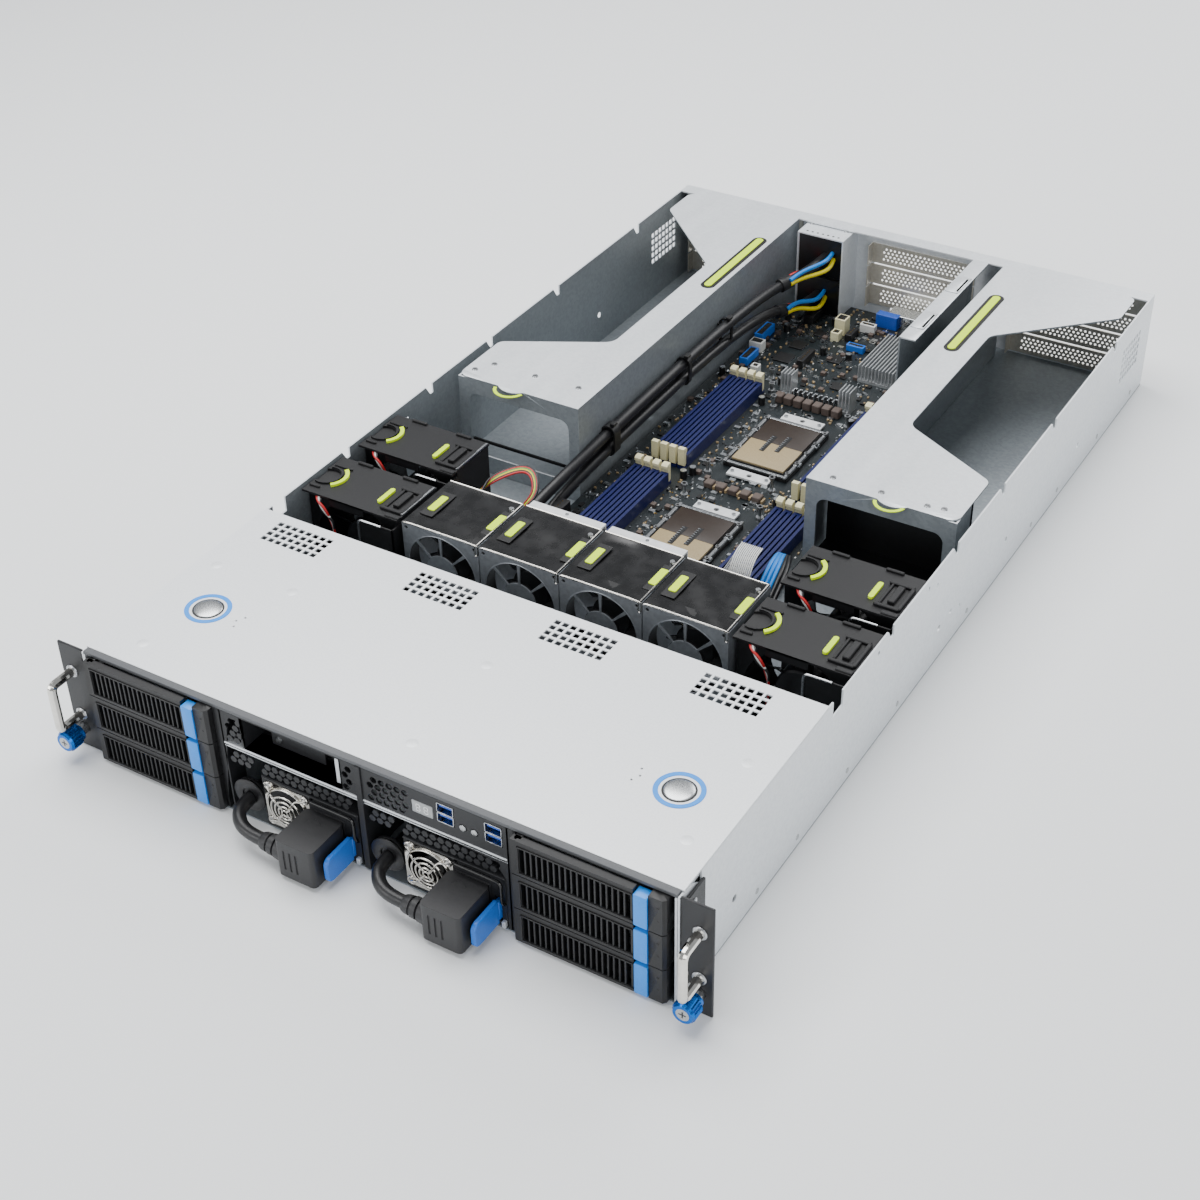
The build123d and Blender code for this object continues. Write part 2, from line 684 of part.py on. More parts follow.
# Front panel fittings, one file: display, two double ports, two glands, the card bracket
with BuildPart() as panel_fittings:
    right_bay = bay_lefts[1]
    block((right_bay + display_start + slide_gap, right_bay + display_end - slide_gap),
          (-panel_sheet / 4, panel_sheet * 3), (display_floor + slide_gap, display_top - slide_gap))
    for start in port_starts:
        left = right_bay + start + slide_gap
        right = right_bay + start + port_width - slide_gap
        middle = (port_floor + port_top) / 2
        block((left, right), (-panel_sheet / 4, port_depth), (port_floor + slide_gap, port_top - slide_gap))
        for low, high in ((port_floor, middle), (middle, port_top)):
            block((left + port_wall, right - port_wall), (-overrun, port_depth - port_wall),
                  (low + port_wall, high - port_wall), mode=Mode.SUBTRACT)
            block((left + port_wall * 2, right - port_wall * 2), (port_wall, port_depth),
                  (high - port_wall - port_tongue - slide_gap * 2, high - port_wall - slide_gap * 2))
    for bay_left in bay_lefts:
        with BuildSketch(front_plane(panel_sheet + slide_gap)):
            with Locations((bay_left + gland_offset, gland_height)):
                RegularPolygon(gland_radius + panel_sheet * 1.5, round_sides)
                RegularPolygon(lead_diameter / 2 + gland_bore_gap, small_round_sides, mode=Mode.SUBTRACT)
        extrude(amount=-panel_sheet)
        with BuildSketch(front_plane(panel_sheet + slide_gap)):
            with Locations((bay_left + gland_offset, gland_height)):
                RegularPolygon(gland_radius - slide_gap, round_sides)
                RegularPolygon(lead_diameter / 2 + gland_bore_gap, small_round_sides, mode=Mode.SUBTRACT)
        extrude(amount=3 * panel_sheet)
    with BuildSketch(front_plane(card_bay_depth - panel_sheet)):
        card_middle = (card_left + card_right) / 2
        with Locations((card_middle, card_window_top - card_bracket_height / 2 - slide_gap)):
            Rectangle(card_right - card_left - 4 * panel_sheet, card_bracket_height)
            with GridLocations(3 * card_bracket_hole, 0, card_bracket_holes, 1):
                Rectangle(card_bracket_hole, card_bracket_height / 2, mode=Mode.SUBTRACT)
    extrude(amount=panel_sheet)
save(panel_fittings, "panel_fittings")


def push_button(start):
    """A small round push button behind the panel, with its cap showing through."""
    with BuildPart() as button:
        with BuildSketch(front_plane(panel_sheet + push_button_step / 2)):
            with Locations((bay_lefts[1] + start, push_button_height)):
                RegularPolygon(push_button_radius, small_round_sides)
        extrude(amount=panel_sheet + push_button_step / 2 + push_button_rise + push_button_step)
        with BuildSketch(front_plane(panel_sheet + slide_gap + push_button_length)):
            with Locations((bay_lefts[1] + start, push_button_height)):
                RegularPolygon(push_button_radius + push_button_flange, small_round_sides)
        extrude(amount=push_button_length)
    return button


save(push_button(button_starts[0]), "power_button")
save(push_button(button_starts[1]), "id_button")

# Power supplies: case with a fan bore and a mains inlet, chrome fan guard, wire bail
supply_length = 185.0
supply_face = 0.4
supply_fan_offset = 18.4
supply_fan_height = 22.2
supply_fan_bore = 17.2
supply_fan_bore_depth = 12.0
supply_fan_hub = 8.0
supply_fan_blades = 5
supply_fan_blade_width = 9.0
supply_fan_blade_depth = 2.0
guard_size = 35.6
guard_sheet = 1.2
guard_ring_radii = (13.5, 7.5)
guard_ring_width = 1.2
guard_spoke_width = 1.4
plug_offset = 61.5
plug_width = 29.0
plug_reach = 34.0
plug_low = 3.6
plug_high = 32.6
plug_gap = 1.0
plug_round = 4.0
plug_edge_round = 1.2
nose_inset = 2.6
nose_depth = 13.0
inlet_clearance = 0.5
plug_groove_width = 1.2
plug_groove_depth = 0.8
plug_groove_count = 3
plug_groove_pitch = 4.6
plug_groove_inset = 7.0
bail_width = 1.6
bail_reach = 5.0
bail_low = 20.0
bail_start = 40.2
relief_depth = -25.0
relief_height = 16.5
relief_length = 17.5
relief_radius = 6.6
relief_tip_radius = 5.6
relief_groove_width = 2.0
lever_blade_thickness = 3.6
lever_blade_low = 5.4
lever_blade_high = 24.0
lever_blade_start = 92.9
lever_blade_round = 6.0
lever_root = 2.0
lever_gap = 0.5
lever_socket_depth = 5.0
supply_top = supply_floor + supply_height


def supply_pieces(bay_left):
    """One power supply: case, chrome guard, fan hub with blades, and the bail over the inlet."""
    left = bay_left + supply_offset
    fan_x = left + supply_fan_offset
    plug_left = bay_left + plug_offset
    block((left, left + supply_width), (supply_face, supply_length), (supply_floor, supply_top))
    with BuildSketch(front_plane(supply_face + supply_fan_bore_depth)) as bore:
        with Locations((fan_x, supply_fan_height)):
            RegularPolygon(supply_fan_bore, round_sides)
    extrude(bore.sketch, amount=supply_fan_bore_depth + overrun, mode=Mode.SUBTRACT)
    block((plug_left + nose_inset - inlet_clearance, plug_left + plug_width - nose_inset + inlet_clearance),
          (supply_face - overrun, nose_depth + overrun),
          (plug_low + nose_inset - inlet_clearance, plug_high - nose_inset + inlet_clearance),
          mode=Mode.SUBTRACT)
    block((bay_left + lever_blade_start - lever_gap, bay_left + lever_blade_start + lever_blade_thickness
           + lever_gap), (supply_face - overrun, supply_face + lever_socket_depth + lever_gap),
          (lever_blade_low - lever_gap, lever_blade_high + lever_gap), mode=Mode.SUBTRACT)
    with BuildSketch(front_plane(supply_face + supply_fan_bore_depth)) as hub:
        with Locations((fan_x, supply_fan_height)):
            RegularPolygon(supply_fan_hub, small_round_sides)
    extrude(hub.sketch, amount=supply_fan_bore_depth / 2)
    with BuildSketch(front_plane(supply_face + supply_fan_bore_depth / 2)) as blades:
        with Locations((fan_x, supply_fan_height)):
            with PolarLocations(supply_fan_bore / 2 + supply_fan_hub / 2 - slide_gap, supply_fan_blades):
                Rectangle(supply_fan_bore - supply_fan_hub - slide_gap, supply_fan_blade_width)
    extrude(blades.sketch, amount=-supply_fan_blade_depth)


def supply_guard(bay_left):
    """The square fan guard: a plate with a round opening, three rings and four spokes."""
    fan_x = bay_left + supply_offset + supply_fan_offset
    with BuildSketch(front_plane(supply_face)) as guard:
        with Locations((fan_x, supply_fan_height)):
            Rectangle(guard_size, guard_size)
            RegularPolygon(supply_fan_bore, round_sides, mode=Mode.SUBTRACT)
            for ring_radius in guard_ring_radii:
                with BuildSketch(mode=Mode.PRIVATE) as ring:
                    RegularPolygon(ring_radius, small_round_sides)
                    RegularPolygon(ring_radius - guard_ring_width, small_round_sides, mode=Mode.SUBTRACT)
                add(ring.sketch)
            with PolarLocations((supply_fan_bore + guard_ring_radii[-1]) / 2, 4, start_angle=45):
                Rectangle(supply_fan_bore - guard_ring_radii[-1] + guard_spoke_width, guard_spoke_width)
    extrude(guard.sketch, amount=guard_sheet)


def supply_bail(bay_left):
    """The flat bail that runs over the inlet and down beside it."""
    left = bay_left + supply_offset
    right = left + supply_width
    block((left + bail_start, right), (supply_face - bail_reach, supply_face),
          (supply_top - bail_width, supply_top))
    block((right - bail_width, right), (supply_face - bail_reach, supply_face), (bail_low, supply_top))


with BuildPart() as power_supplies:
    for bay_left in bay_lefts:
        supply_pieces(bay_left)
        supply_guard(bay_left)
        supply_bail(bay_left)
save(power_supplies, "power_supplies")


def mains_plug(bay_left):
    """A right-angle plug: rounded body, nose in the inlet, grooves and a ribbed strain relief."""
    left = bay_left + plug_offset
    with BuildPart() as plug:
        block((left, left + plug_width), (-plug_reach, -plug_gap), (plug_low, plug_high))
        corner_edges = plug.edges().filter_by(Axis.Z)
        chamfer(corner_edges.group_by(Axis.Y)[0], plug_round)
        chamfer(plug.faces().filter_by(Axis.Z).sort_by(Axis.Z)[-1].edges(), plug_edge_round)
        with BuildSketch(front_plane(-plug_reach + plug_groove_depth)):
            with Locations((left + plug_groove_inset + plug_groove_pitch, (plug_low + plug_high) / 2)):
                with GridLocations(plug_groove_pitch, 0, plug_groove_count, 1):
                    Rectangle(plug_groove_width, (plug_high - plug_low) / 2)
        extrude(amount=overrun, mode=Mode.SUBTRACT)
        block((left + nose_inset, left + plug_width - nose_inset), (-plug_gap, nose_depth),
              (plug_low + nose_inset, plug_high - nose_inset))
        with BuildSketch(Plane(origin=(left, front_y + relief_depth, relief_height),
                               x_dir=(0, 1, 0), z_dir=(-1, 0, 0))):
            RegularPolygon(relief_tip_radius, small_round_sides)
        extrude(amount=relief_length)
        with BuildSketch(Plane(origin=(left - relief_length / 3, front_y + relief_depth, relief_height),
                               x_dir=(0, 1, 0), z_dir=(-1, 0, 0))):
            RegularPolygon(relief_radius, small_round_sides)
        extrude(amount=relief_groove_width * 2)
    return plug


save(mains_plug(bay_lefts[0]), "left_plug")
save(mains_plug(bay_lefts[1]), "right_plug")


def supply_lever(bay_left):
    """The blue release lever of a power supply: a blade with a round nose on a short root."""
    left = bay_left + lever_blade_start
    with BuildPart() as lever:
        block((left, left + lever_blade_thickness), (-psu_lever_reach, -lever_root),
              (lever_blade_low, lever_blade_high))
        fillet(lever.edges().filter_by(Axis.X).group_by(Axis.Y)[0], lever_blade_round)
        block((left, left + lever_blade_thickness), (-lever_root, supply_face + lever_socket_depth),
              (lever_blade_low + lever_root, lever_blade_high - lever_root))
    return lever


save(supply_lever(bay_lefts[0]), "left_supply_lever")
save(supply_lever(bay_lefts[1]), "right_supply_lever")

# The two mains leads: from the rear inlets, under the fans, out of the front glands into the plugs
run_share = 0.45
lead_sides = 8
left_lead_points = ((-64.0, 768.8, 64.0), (-64.0, 735.0, 64.0), (-92.5, 680.0, 54.0), (-93.4, 372.0, 47.0),
                    (-117.0, 306.0, 6.3), (-118.0, 216.0, 6.3), (-91.15, 160.0, 18.5),
                    (-91.15, -9.0, 21.0), (-85.05, -20.0, 19.0), (-74.05, -25.0, 16.5),
                    (-61.65, -25.0, 16.5))
right_lead_points = ((-70.0, 768.8, 26.0), (-70.0, 738.0, 26.0), (-91.5, 685.0, 40.0), (-92.6, 400.0, 35.5),
                     (-104.0, 345.0, 7.5), (-107.0, 262.0, 6.3), (-88.0, 214.0, 6.4), (-32.0, 203.0, 6.6),
                     (-2.0, 198.0, 8.0), (12.0, 172.0, 11.0), (16.65, 116.0, 18.5), (16.65, -9.0, 21.0),
                     (22.75, -20.0, 19.0), (33.75, -25.0, 16.5), (46.15, -25.0, 16.5))


def arc_radii(points):
    """For each inner point: a share of the shorter run beside it over the tangent of half the turn."""
    corners = [Vector(*point) for point in points]
    radii = []
    for before, here, after in zip(corners, corners[1:], corners[2:]):
        turn = (here - before).get_angle(after - here)
        shorter = min((here - before).length, (after - here).length)
        radii.append(run_share * shorter / tan(radians(turn) / 2))
    return radii


def route_tube(points, diameter):
    """A tube along straight runs joined by tangent arcs, with flats to keep its faces few."""
    radii = arc_radii(points)
    print("arc radii", [round(radius, 1) for radius in radii])
    with BuildPart() as tube:
        with BuildLine() as route:
            FilletPolyline(*points, radius=radii)
        path = route.wire()
        with BuildSketch(Plane(origin=path @ 0, z_dir=path % 0)) as section:
            RegularPolygon(diameter / 2, lead_sides, major_radius=False)
        sweep(path=path)
    expected = section.sketch.area * path.length
    print("tube length", round(path.length, 1), "volume share", round(tube.part.volume / expected, 4))
    return tube


for points, name in ((left_lead_points, "left_lead"), (right_lead_points, "right_lead")):
    placed = [(x, front_y + depth, height) for x, depth, height in points]
    save(route_tube(placed, lead_diameter), name)

# Centre fans: four frames side by side, each with a round mouth, spokes and a hub disc
centre_fan_count = 4
centre_fan_pitch = 65.0
centre_fan_width = 64.0
centre_fan_front = 225.0
centre_fan_depth = 60.0
centre_fan_low = 13.0
centre_fan_high = 84.0
centre_fan_wall = 1.6
centre_fan_mouth = 28.5
centre_fan_height = 51.0
centre_fan_hub = 13.0
centre_fan_spokes = 8
centre_fan_spoke_width = 2.0
centre_fan_grille = 2.4
centre_fan_film = 1.0
centre_rotor_radius = 27.2
centre_rotor_hub = 15.0
centre_rotor_depth = 24.0
centre_rotor_start = 14.0
rotor_blade_thickness = 1.4
rotor_blade_tilt = 50.0
rotor_blade_chord = 18.0
rotor_shaft_radius = 1.5
rotor_hub_sides = 12
rotor_shaft_sides = 6
centre_rotor_blades = 7
fan_shelf_width = 3.0


def fan_x_of(index):
    """Middle of a centre fan, counted from the left."""
    return (index - (centre_fan_count - 1) / 2) * centre_fan_pitch


def centre_fan_frame(fan_x):
    """A sheet box, open at the rear, with a spoked mouth and a motor bridge, standing on four feet."""
    left = fan_x - centre_fan_width / 2
    right = fan_x + centre_fan_width / 2
    rear = centre_fan_front + centre_fan_depth
    with BuildPart() as frame:
        block((left, right), (centre_fan_front, rear), (centre_fan_low, centre_fan_high))
        block((left + centre_fan_wall, right - centre_fan_wall),
              (centre_fan_front + centre_fan_wall, rear + overrun),
              (centre_fan_low + centre_fan_wall, centre_fan_high - centre_fan_film), mode=Mode.SUBTRACT)
        with BuildSketch(front_plane(centre_fan_front + centre_fan_wall)):
            with Locations((fan_x, centre_fan_height)):
                RegularPolygon(centre_fan_mouth, round_sides)
        extrude(amount=centre_fan_wall + overrun, mode=Mode.SUBTRACT)
        with BuildSketch(front_plane(centre_fan_front + centre_fan_grille)):
            with Locations((fan_x, centre_fan_height)):
                with PolarLocations((centre_fan_mouth + centre_fan_hub) / 2, centre_fan_spokes,
                                    start_angle=90):
                    Rectangle(centre_fan_mouth - centre_fan_hub + 2 * centre_fan_spoke_width,
                              centre_fan_spoke_width)
                RegularPolygon(centre_fan_hub, small_round_sides)
        extrude(amount=centre_fan_grille)
        bridge_low = centre_fan_height - fan_shelf_width
        block((left, right), (rear - centre_fan_grille, rear),
              (bridge_low, bridge_low + 2 * fan_shelf_width))
        for edge in (left, right - fan_shelf_width):
            block((edge, edge + fan_shelf_width), (centre_fan_front, centre_fan_front + fan_shelf_width),
                  (sheet, centre_fan_low - seat_gap))
            block((edge, edge + fan_shelf_width), (rear - fan_shelf_width, rear),
                  (sheet, centre_fan_low - seat_gap))
    return frame


with BuildPart() as centre_fan_frames:
    for index in range(centre_fan_count):
        add(centre_fan_frame(fan_x_of(index)).part)
save(centre_fan_frames, "centre_fan_frames")


def rotor_at(fan_x, height, start, radius, hub_radius, depth, blades, reach_front, reach_rear):
    """A rotor: a hub, pitched flat blades and a shaft reaching its two bearings."""
    with BuildSketch(front_plane(start + depth)) as hub:
        with Locations((fan_x, height)):
            RegularPolygon(hub_radius, rotor_hub_sides)
    extrude(hub.sketch, amount=depth)
    blade_length = radius - hub_radius + rotor_blade_thickness
    tilt = radians(rotor_blade_tilt)
    for index in range(blades):
        turn = 2 * pi / blades * index
        blade_plane = Plane(origin=(fan_x, front_y + start + depth / 2, height), x_dir=(cos(turn), 0, sin(turn)),
                            z_dir=(-sin(turn) * sin(tilt), -cos(tilt), cos(turn) * sin(tilt)))
        with BuildSketch(blade_plane) as blade:
            with Locations((radius - blade_length / 2, 0)):
                Rectangle(blade_length, rotor_blade_chord)
        extrude(blade.sketch, amount=rotor_blade_thickness / 2, both=True)
    with BuildSketch(front_plane(reach_rear)) as shaft:
        with Locations((fan_x, height)):
            RegularPolygon(rotor_shaft_radius, rotor_shaft_sides)
    extrude(shaft.sketch, amount=reach_rear - reach_front)


for index in range(centre_fan_count):
    with BuildPart() as centre_rotor:
        rotor_at(fan_x_of(index), centre_fan_height, centre_fan_front + centre_rotor_start,
                 centre_rotor_radius, centre_rotor_hub, centre_rotor_depth, centre_rotor_blades,
                 centre_fan_front + centre_fan_grille + slide_gap,
                 centre_fan_front + centre_fan_depth - centre_fan_grille - slide_gap)
    save(centre_rotor, f"centre_rotor_{index + 1}")

# Side fans: two 80 mm frames in tandem on each side, under black plastic tops
side_fan_x = 175.0
side_fan_width = 84.0
side_fan_depth = 40.0
side_fan_starts = (231.0, 299.0)
side_fan_high = 81.5
side_fan_mouth = 37.0
side_fan_height = 41.0
side_fan_wall = 1.5
side_fan_hub = 12.0
side_fan_spokes = 4
side_fan_spoke_width = 3.0
side_fan_top = 1.6
side_rotor_radius = 35.5
side_rotor_hub = 18.0
side_rotor_depth = 18.0
side_rotor_start = 10.0
side_rotor_blades = 7
side_top_overhang = 2.0
side_top_cut = 12.0


def side_fan_frame(fan_x, start):
    """A square fan housing with a round bore, spokes behind and a bracket top with a bite."""
    with BuildPart() as frame:
        block((fan_x - side_fan_width / 2, fan_x + side_fan_width / 2), (start, start + side_fan_depth),
              (sheet, side_fan_high))
        with BuildSketch(front_plane(start + side_fan_depth)):
            with Locations((fan_x, side_fan_height)):
                RegularPolygon(side_fan_mouth, round_sides)
        extrude(amount=side_fan_depth, mode=Mode.SUBTRACT)
        with BuildSketch(front_plane(start + side_fan_depth)):
            with Locations((fan_x, side_fan_height)):
                with PolarLocations((side_fan_mouth + side_fan_hub) / 2, side_fan_spokes,
                                    start_angle=45):
                    Rectangle(side_fan_mouth - side_fan_hub + side_fan_spoke_width,
                              side_fan_spoke_width)
                RegularPolygon(side_fan_hub, small_round_sides)
        extrude(amount=side_fan_wall)
        with BuildSketch(level_plane(side_fan_high)):
            with Locations((fan_x, start + side_fan_depth / 2)):
                Rectangle(side_fan_width, side_fan_depth + 2 * side_top_overhang)
            with Locations((fan_x - side_fan_width / 2, start + side_fan_depth / 2)):
                RegularPolygon(side_top_cut, small_round_sides, mode=Mode.SUBTRACT)
        extrude(amount=side_fan_top)
    return frame


with BuildPart() as side_fan_frames:
    for side in (-1, 1):
        for start in side_fan_starts:
            add(side_fan_frame(side * side_fan_x, start).part)
save(side_fan_frames, "side_fan_frames")

for side, name in ((-1, "left_side_rotors"), (1, "right_side_rotors")):
    with BuildPart() as side_rotors:
        for start in side_fan_starts:
            rotor_at(side * side_fan_x, side_fan_height, start + side_rotor_start, side_rotor_radius,
                     side_rotor_hub, side_rotor_depth, side_rotor_blades,
                     start + side_rotor_start, start + side_fan_depth - side_fan_wall - slide_gap)
    save(side_rotors, name)

# Riser cages: a cut-out top plate, an inner wall down to the floor and a framed front
riser_front = 411.0
riser_rear = chassis_length - rear_flange_depth - slide_gap
riser_sheet = 1.4
riser_top = 86.0
riser_outer_x = 209.0
riser_inner_x = 99.0
right_riser_inner_x = 93.0
riser_notch_front = 470.0
riser_notch_front_inner = 513.0
riser_notch_rear_inner = 668.0
riser_notch_rear = 746.0
riser_neck_x = 128.5
riser_corner = 8.0
riser_notch_round = 12.0
riser_slot_x = 109.4
riser_slot_width = 12.0
riser_slot_front = 630.0
riser_slot_rear = 735.0
riser_frame_inset = 9.0
riser_frame_low = 17.0
riser_frame_high = 72.0
riser_frame_round = 8.0
riser_foot_gap = 0.3
riser_tab_x = 160.0
riser_tab_radius = 16.0
riser_tab_reach = 5.0
riser_lug_width = 26.0


def riser_cage(side, inner_x):
    """One outer riser cage, seated between the side wall and the board."""
    top_low = riser_top - riser_sheet
    inner = side * inner_x
    with BuildPart() as cage:
        with BuildSketch(level_plane(top_low)) as outline:
            with BuildLine():
                Polyline((inner, riser_front), (side * riser_outer_x, riser_front),
                         (side * riser_outer_x, riser_notch_front),
                         (side * riser_neck_x, riser_notch_front_inner),
                         (side * riser_neck_x, riser_notch_rear_inner),
                         (side * riser_outer_x, riser_notch_rear),
                         (side * riser_outer_x, riser_rear), (inner, riser_rear), close=True)
            make_face()
            neck_corners = [corner for corner in outline.vertices()
                            if abs(corner.X - side * riser_neck_x) < riser_sheet]
            fillet(neck_corners, riser_notch_round)
            edge_corners = [corner for corner in outline.vertices()
                            if abs(corner.X - side * riser_outer_x) < riser_sheet]
            fillet(edge_corners, riser_corner)
            with Locations((side * riser_tab_x, riser_front + riser_tab_radius - riser_tab_reach)):
                RegularPolygon(riser_tab_radius, round_sides)
            with Locations((side * riser_slot_x, (riser_slot_front + riser_slot_rear) / 2)):
                SlotOverall(riser_slot_rear - riser_slot_front, riser_slot_width, rotation=90,
                            mode=Mode.SUBTRACT)
        extrude(amount=riser_sheet)
        wall = (inner, inner + side * riser_sheet)
        block((min(wall), max(wall)), (riser_front, riser_rear), (sheet + riser_foot_gap, top_low))
        frame_ends = (inner, side * riser_outer_x)
        with BuildSketch(front_plane(riser_front + riser_sheet)):
            with Locations((sum(frame_ends) / 2, (sheet + riser_foot_gap + top_low) / 2)):
                Rectangle(abs(frame_ends[1] - frame_ends[0]), top_low - sheet - riser_foot_gap)
            window((min(frame_ends) + riser_frame_inset, max(frame_ends) - riser_frame_inset),
                   (riser_frame_low, riser_frame_high), radius=riser_frame_round)
        extrude(amount=riser_sheet)
        lug = (side * riser_outer_x, side * (riser_outer_x - riser_sheet))
        block((min(lug), max(lug)), (riser_front, riser_front + riser_lug_width),
              (sheet + riser_foot_gap, top_low))
    return cage


save(riser_cage(-1, riser_inner_x), "left_riser")
save(riser_cage(1, right_riser_inner_x), "right_riser")

# Middle riser: an upright plate with a flat top and two grip pads
middle_riser_left = 66.0
middle_riser_right = 80.0
middle_riser_front = 632.0
middle_riser_sheet = 1.4
middle_riser_low = 20.0
middle_pad_depths = (666.0, 736.0)
middle_pad_length = 30.0
middle_pad_height = 1.0
middle_foot_length = 24.0
with BuildPart() as middle_riser:
    block((middle_riser_left, middle_riser_right), (middle_riser_front, riser_rear),
          (riser_top - middle_riser_sheet, riser_top))
    block((middle_riser_left, middle_riser_left + middle_riser_sheet), (middle_riser_front, riser_rear),
          (middle_riser_low, riser_top - middle_riser_sheet))
    for start in (middle_riser_front, riser_rear - middle_foot_length):
        block((middle_riser_left, middle_riser_left + middle_riser_sheet),
              (start, start + middle_foot_length), (board_top + fit_gap, middle_riser_low))
    for depth in middle_pad_depths:
        block((middle_riser_left + middle_riser_sheet, middle_riser_right - middle_riser_sheet),
              (depth - middle_pad_length / 2, depth + middle_pad_length / 2),
              (riser_top, riser_top + middle_pad_height - fit_gap))
save(middle_riser, "middle_riser")

# Main board with soldered parts, and heatsinks seated on it
board_cut_gap = 1.0
chip_height = 1.4
choke_count = 8
choke_size = 8.0
choke_height = 7.0
choke_pitch = 9.6
choke_left = -31.0
choke_depth = 622.0
power_sink_starts = (-34.0, 4.0)
power_sink_width = 30.0
power_sink_front = 600.0
power_sink_length = 13.0
power_sink_height = 9.0
power_sink_fins = 9
bridge_sink_left = 15.0
bridge_sink_right = 62.0
bridge_sink_front = 673.0
bridge_sink_rear = 735.0
bridge_sink_height = 15.0
bridge_sink_fins = 13
sink_base = 2.5
fin_thickness = 1.0
header_places = ((-95.0, 312.0, 9.0, 26.0), (-30.0, 308.0, 22.0, 8.0), (24.0, 308.0, 34.0, 7.0),
                 (62.0, 306.0, 24.0, 9.0), (-86.0, 640.0, 9.0, 30.0), (-70.0, 690.0, 9.0, 40.0),
                 (-40.0, 668.0, 10.0, 34.0), (-28.0, 730.0, 40.0, 8.0), (72.0, 700.0, 8.0, 24.0))
header_height = 9.0
chip_places = ((-60.0, 660.0, 18.0), (-18.0, 700.0, 20.0), (-50.0, 745.0, 14.0), (80.0, 655.0, 10.0),
               (0.0, 655.0, 12.0), (-10.0, 320.0, 9.0))
port_block_height = 12.0
port_block_length = 16.0
port_block_left = -4.0
port_block_width = 31.0


def finned_sink(left, right, front, rear, height, fins):
    """A heatsink with upright fins that run with the air, front to rear."""
    low = board_top + seat_gap
    block((left, right), (front, rear), (low, low + sink_base))
    pitch = (right - left - fin_thickness) / (fins - 1)
    for index in range(fins):
        fin_left = left + index * pitch
        block((fin_left, fin_left + fin_thickness), (front, rear), (low, low + height))


with BuildPart() as mainboard:
    block((board_left, board_right), (board_front, board_rear), (board_bottom, board_top))
    block((board_left - overrun, inlet_right + inlet_bracket_side + board_cut_gap),
          (inlet_front - board_cut_gap, board_rear + overrun), (board_bottom, board_top), mode=Mode.SUBTRACT)
    for left, front, width, length in header_places:
        block((left, left + width), (front, front + length), (board_top, board_top + header_height))
    for left, front, size in chip_places:
        block((left, left + size), (front, front + size), (board_top, board_top + chip_height))
    for index in range(choke_count):
        left = choke_left + index * choke_pitch
        block((left, left + choke_size), (choke_depth, choke_depth + choke_size),
              (board_top, board_top + choke_height))
    block((port_block_left, port_block_left + port_block_width),
          (board_rear - port_block_length, board_rear), (board_top, board_top + port_block_height))
    for start in power_sink_starts:
        finned_sink(start, start + power_sink_width, power_sink_front, power_sink_front + power_sink_length,
                    power_sink_height, power_sink_fins)
    finned_sink(bridge_sink_left, bridge_sink_right, bridge_sink_front, bridge_sink_rear,
                bridge_sink_height, bridge_sink_fins)
save(mainboard, "mainboard")

# Processor sockets: a frame round a two-part carrier, corner posts, and a tab plate at each end
socket_x = 6.0
socket_width = 56.0
socket_length = 77.0
socket_fronts = (354.0, 502.0)
socket_base_height = 3.6
socket_frame_height = 5.6
socket_frame_width = 4.0
carrier_width = 46.0
carrier_length = 66.0
carrier_height = 6.6
carrier_slot_width = 3.0
carrier_slot_length = 24.0
carrier_slot_depth = 1.6
socket_post_radius = 2.6
socket_post_height = 11.0
socket_post_inset = 1.0
tab_plate_width = 34.0
tab_plate_length = 9.0
tab_plate_height = 2.4
tab_plate_gap = 4.0
tab_hole_radius = 2.2


def processor_socket(front):
    """One socket, seated on the board."""
    low = board_top + seat_gap
    rear = front + socket_length
    middle_depth = (front + rear) / 2
    left = socket_x - socket_width / 2
    right = socket_x + socket_width / 2
    block((left, right), (front, rear), (low, low + socket_base_height))
    block((left, right), (front, rear), (low + socket_base_height, low + socket_frame_height))
    block((left + socket_frame_width, right - socket_frame_width),
          (front + socket_frame_width, rear - socket_frame_width),
          (low + socket_base_height, low + socket_frame_height), mode=Mode.SUBTRACT)
    block((socket_x - carrier_width / 2, socket_x + carrier_width / 2),
          (middle_depth - carrier_length / 2, middle_depth + carrier_length / 2),
          (low + socket_base_height, low + carrier_height))
    slot_top = (low + carrier_height - carrier_slot_depth, low + carrier_height + overrun)
    for side in (-1, 1):
        slot_x = socket_x + side * carrier_slot_length / 2
        block((slot_x - carrier_slot_width / 2, slot_x + carrier_slot_width / 2),
              (middle_depth - carrier_slot_length / 2, middle_depth + carrier_slot_length / 2),
              slot_top, mode=Mode.SUBTRACT)
    block((socket_x - carrier_slot_length / 2, socket_x + carrier_slot_length / 2),
          (middle_depth - carrier_slot_width / 2, middle_depth + carrier_slot_width / 2),
          slot_top, mode=Mode.SUBTRACT)
    with BuildSketch(level_plane(low)) as posts:
        with Locations((socket_x, middle_depth)):
            with GridLocations(socket_width - 2 * socket_post_inset, socket_length - 2 * socket_post_inset, 2, 2):
                RegularPolygon(socket_post_radius, 6)
    extrude(posts.sketch, amount=socket_post_height)
    for plate_depth in (front - tab_plate_gap - tab_plate_length / 2, rear + tab_plate_gap + tab_plate_length / 2):
        with BuildSketch(level_plane(low)) as tab_plate:
            with Locations((socket_x, plate_depth)):
                Rectangle(tab_plate_width, tab_plate_length)
                RegularPolygon(tab_hole_radius, small_round_sides, mode=Mode.SUBTRACT)
        extrude(tab_plate.sketch, amount=tab_plate_height)


with BuildPart() as cpu_sockets:
    for front in socket_fronts:
        processor_socket(front)
save(cpu_sockets, "cpu_sockets")

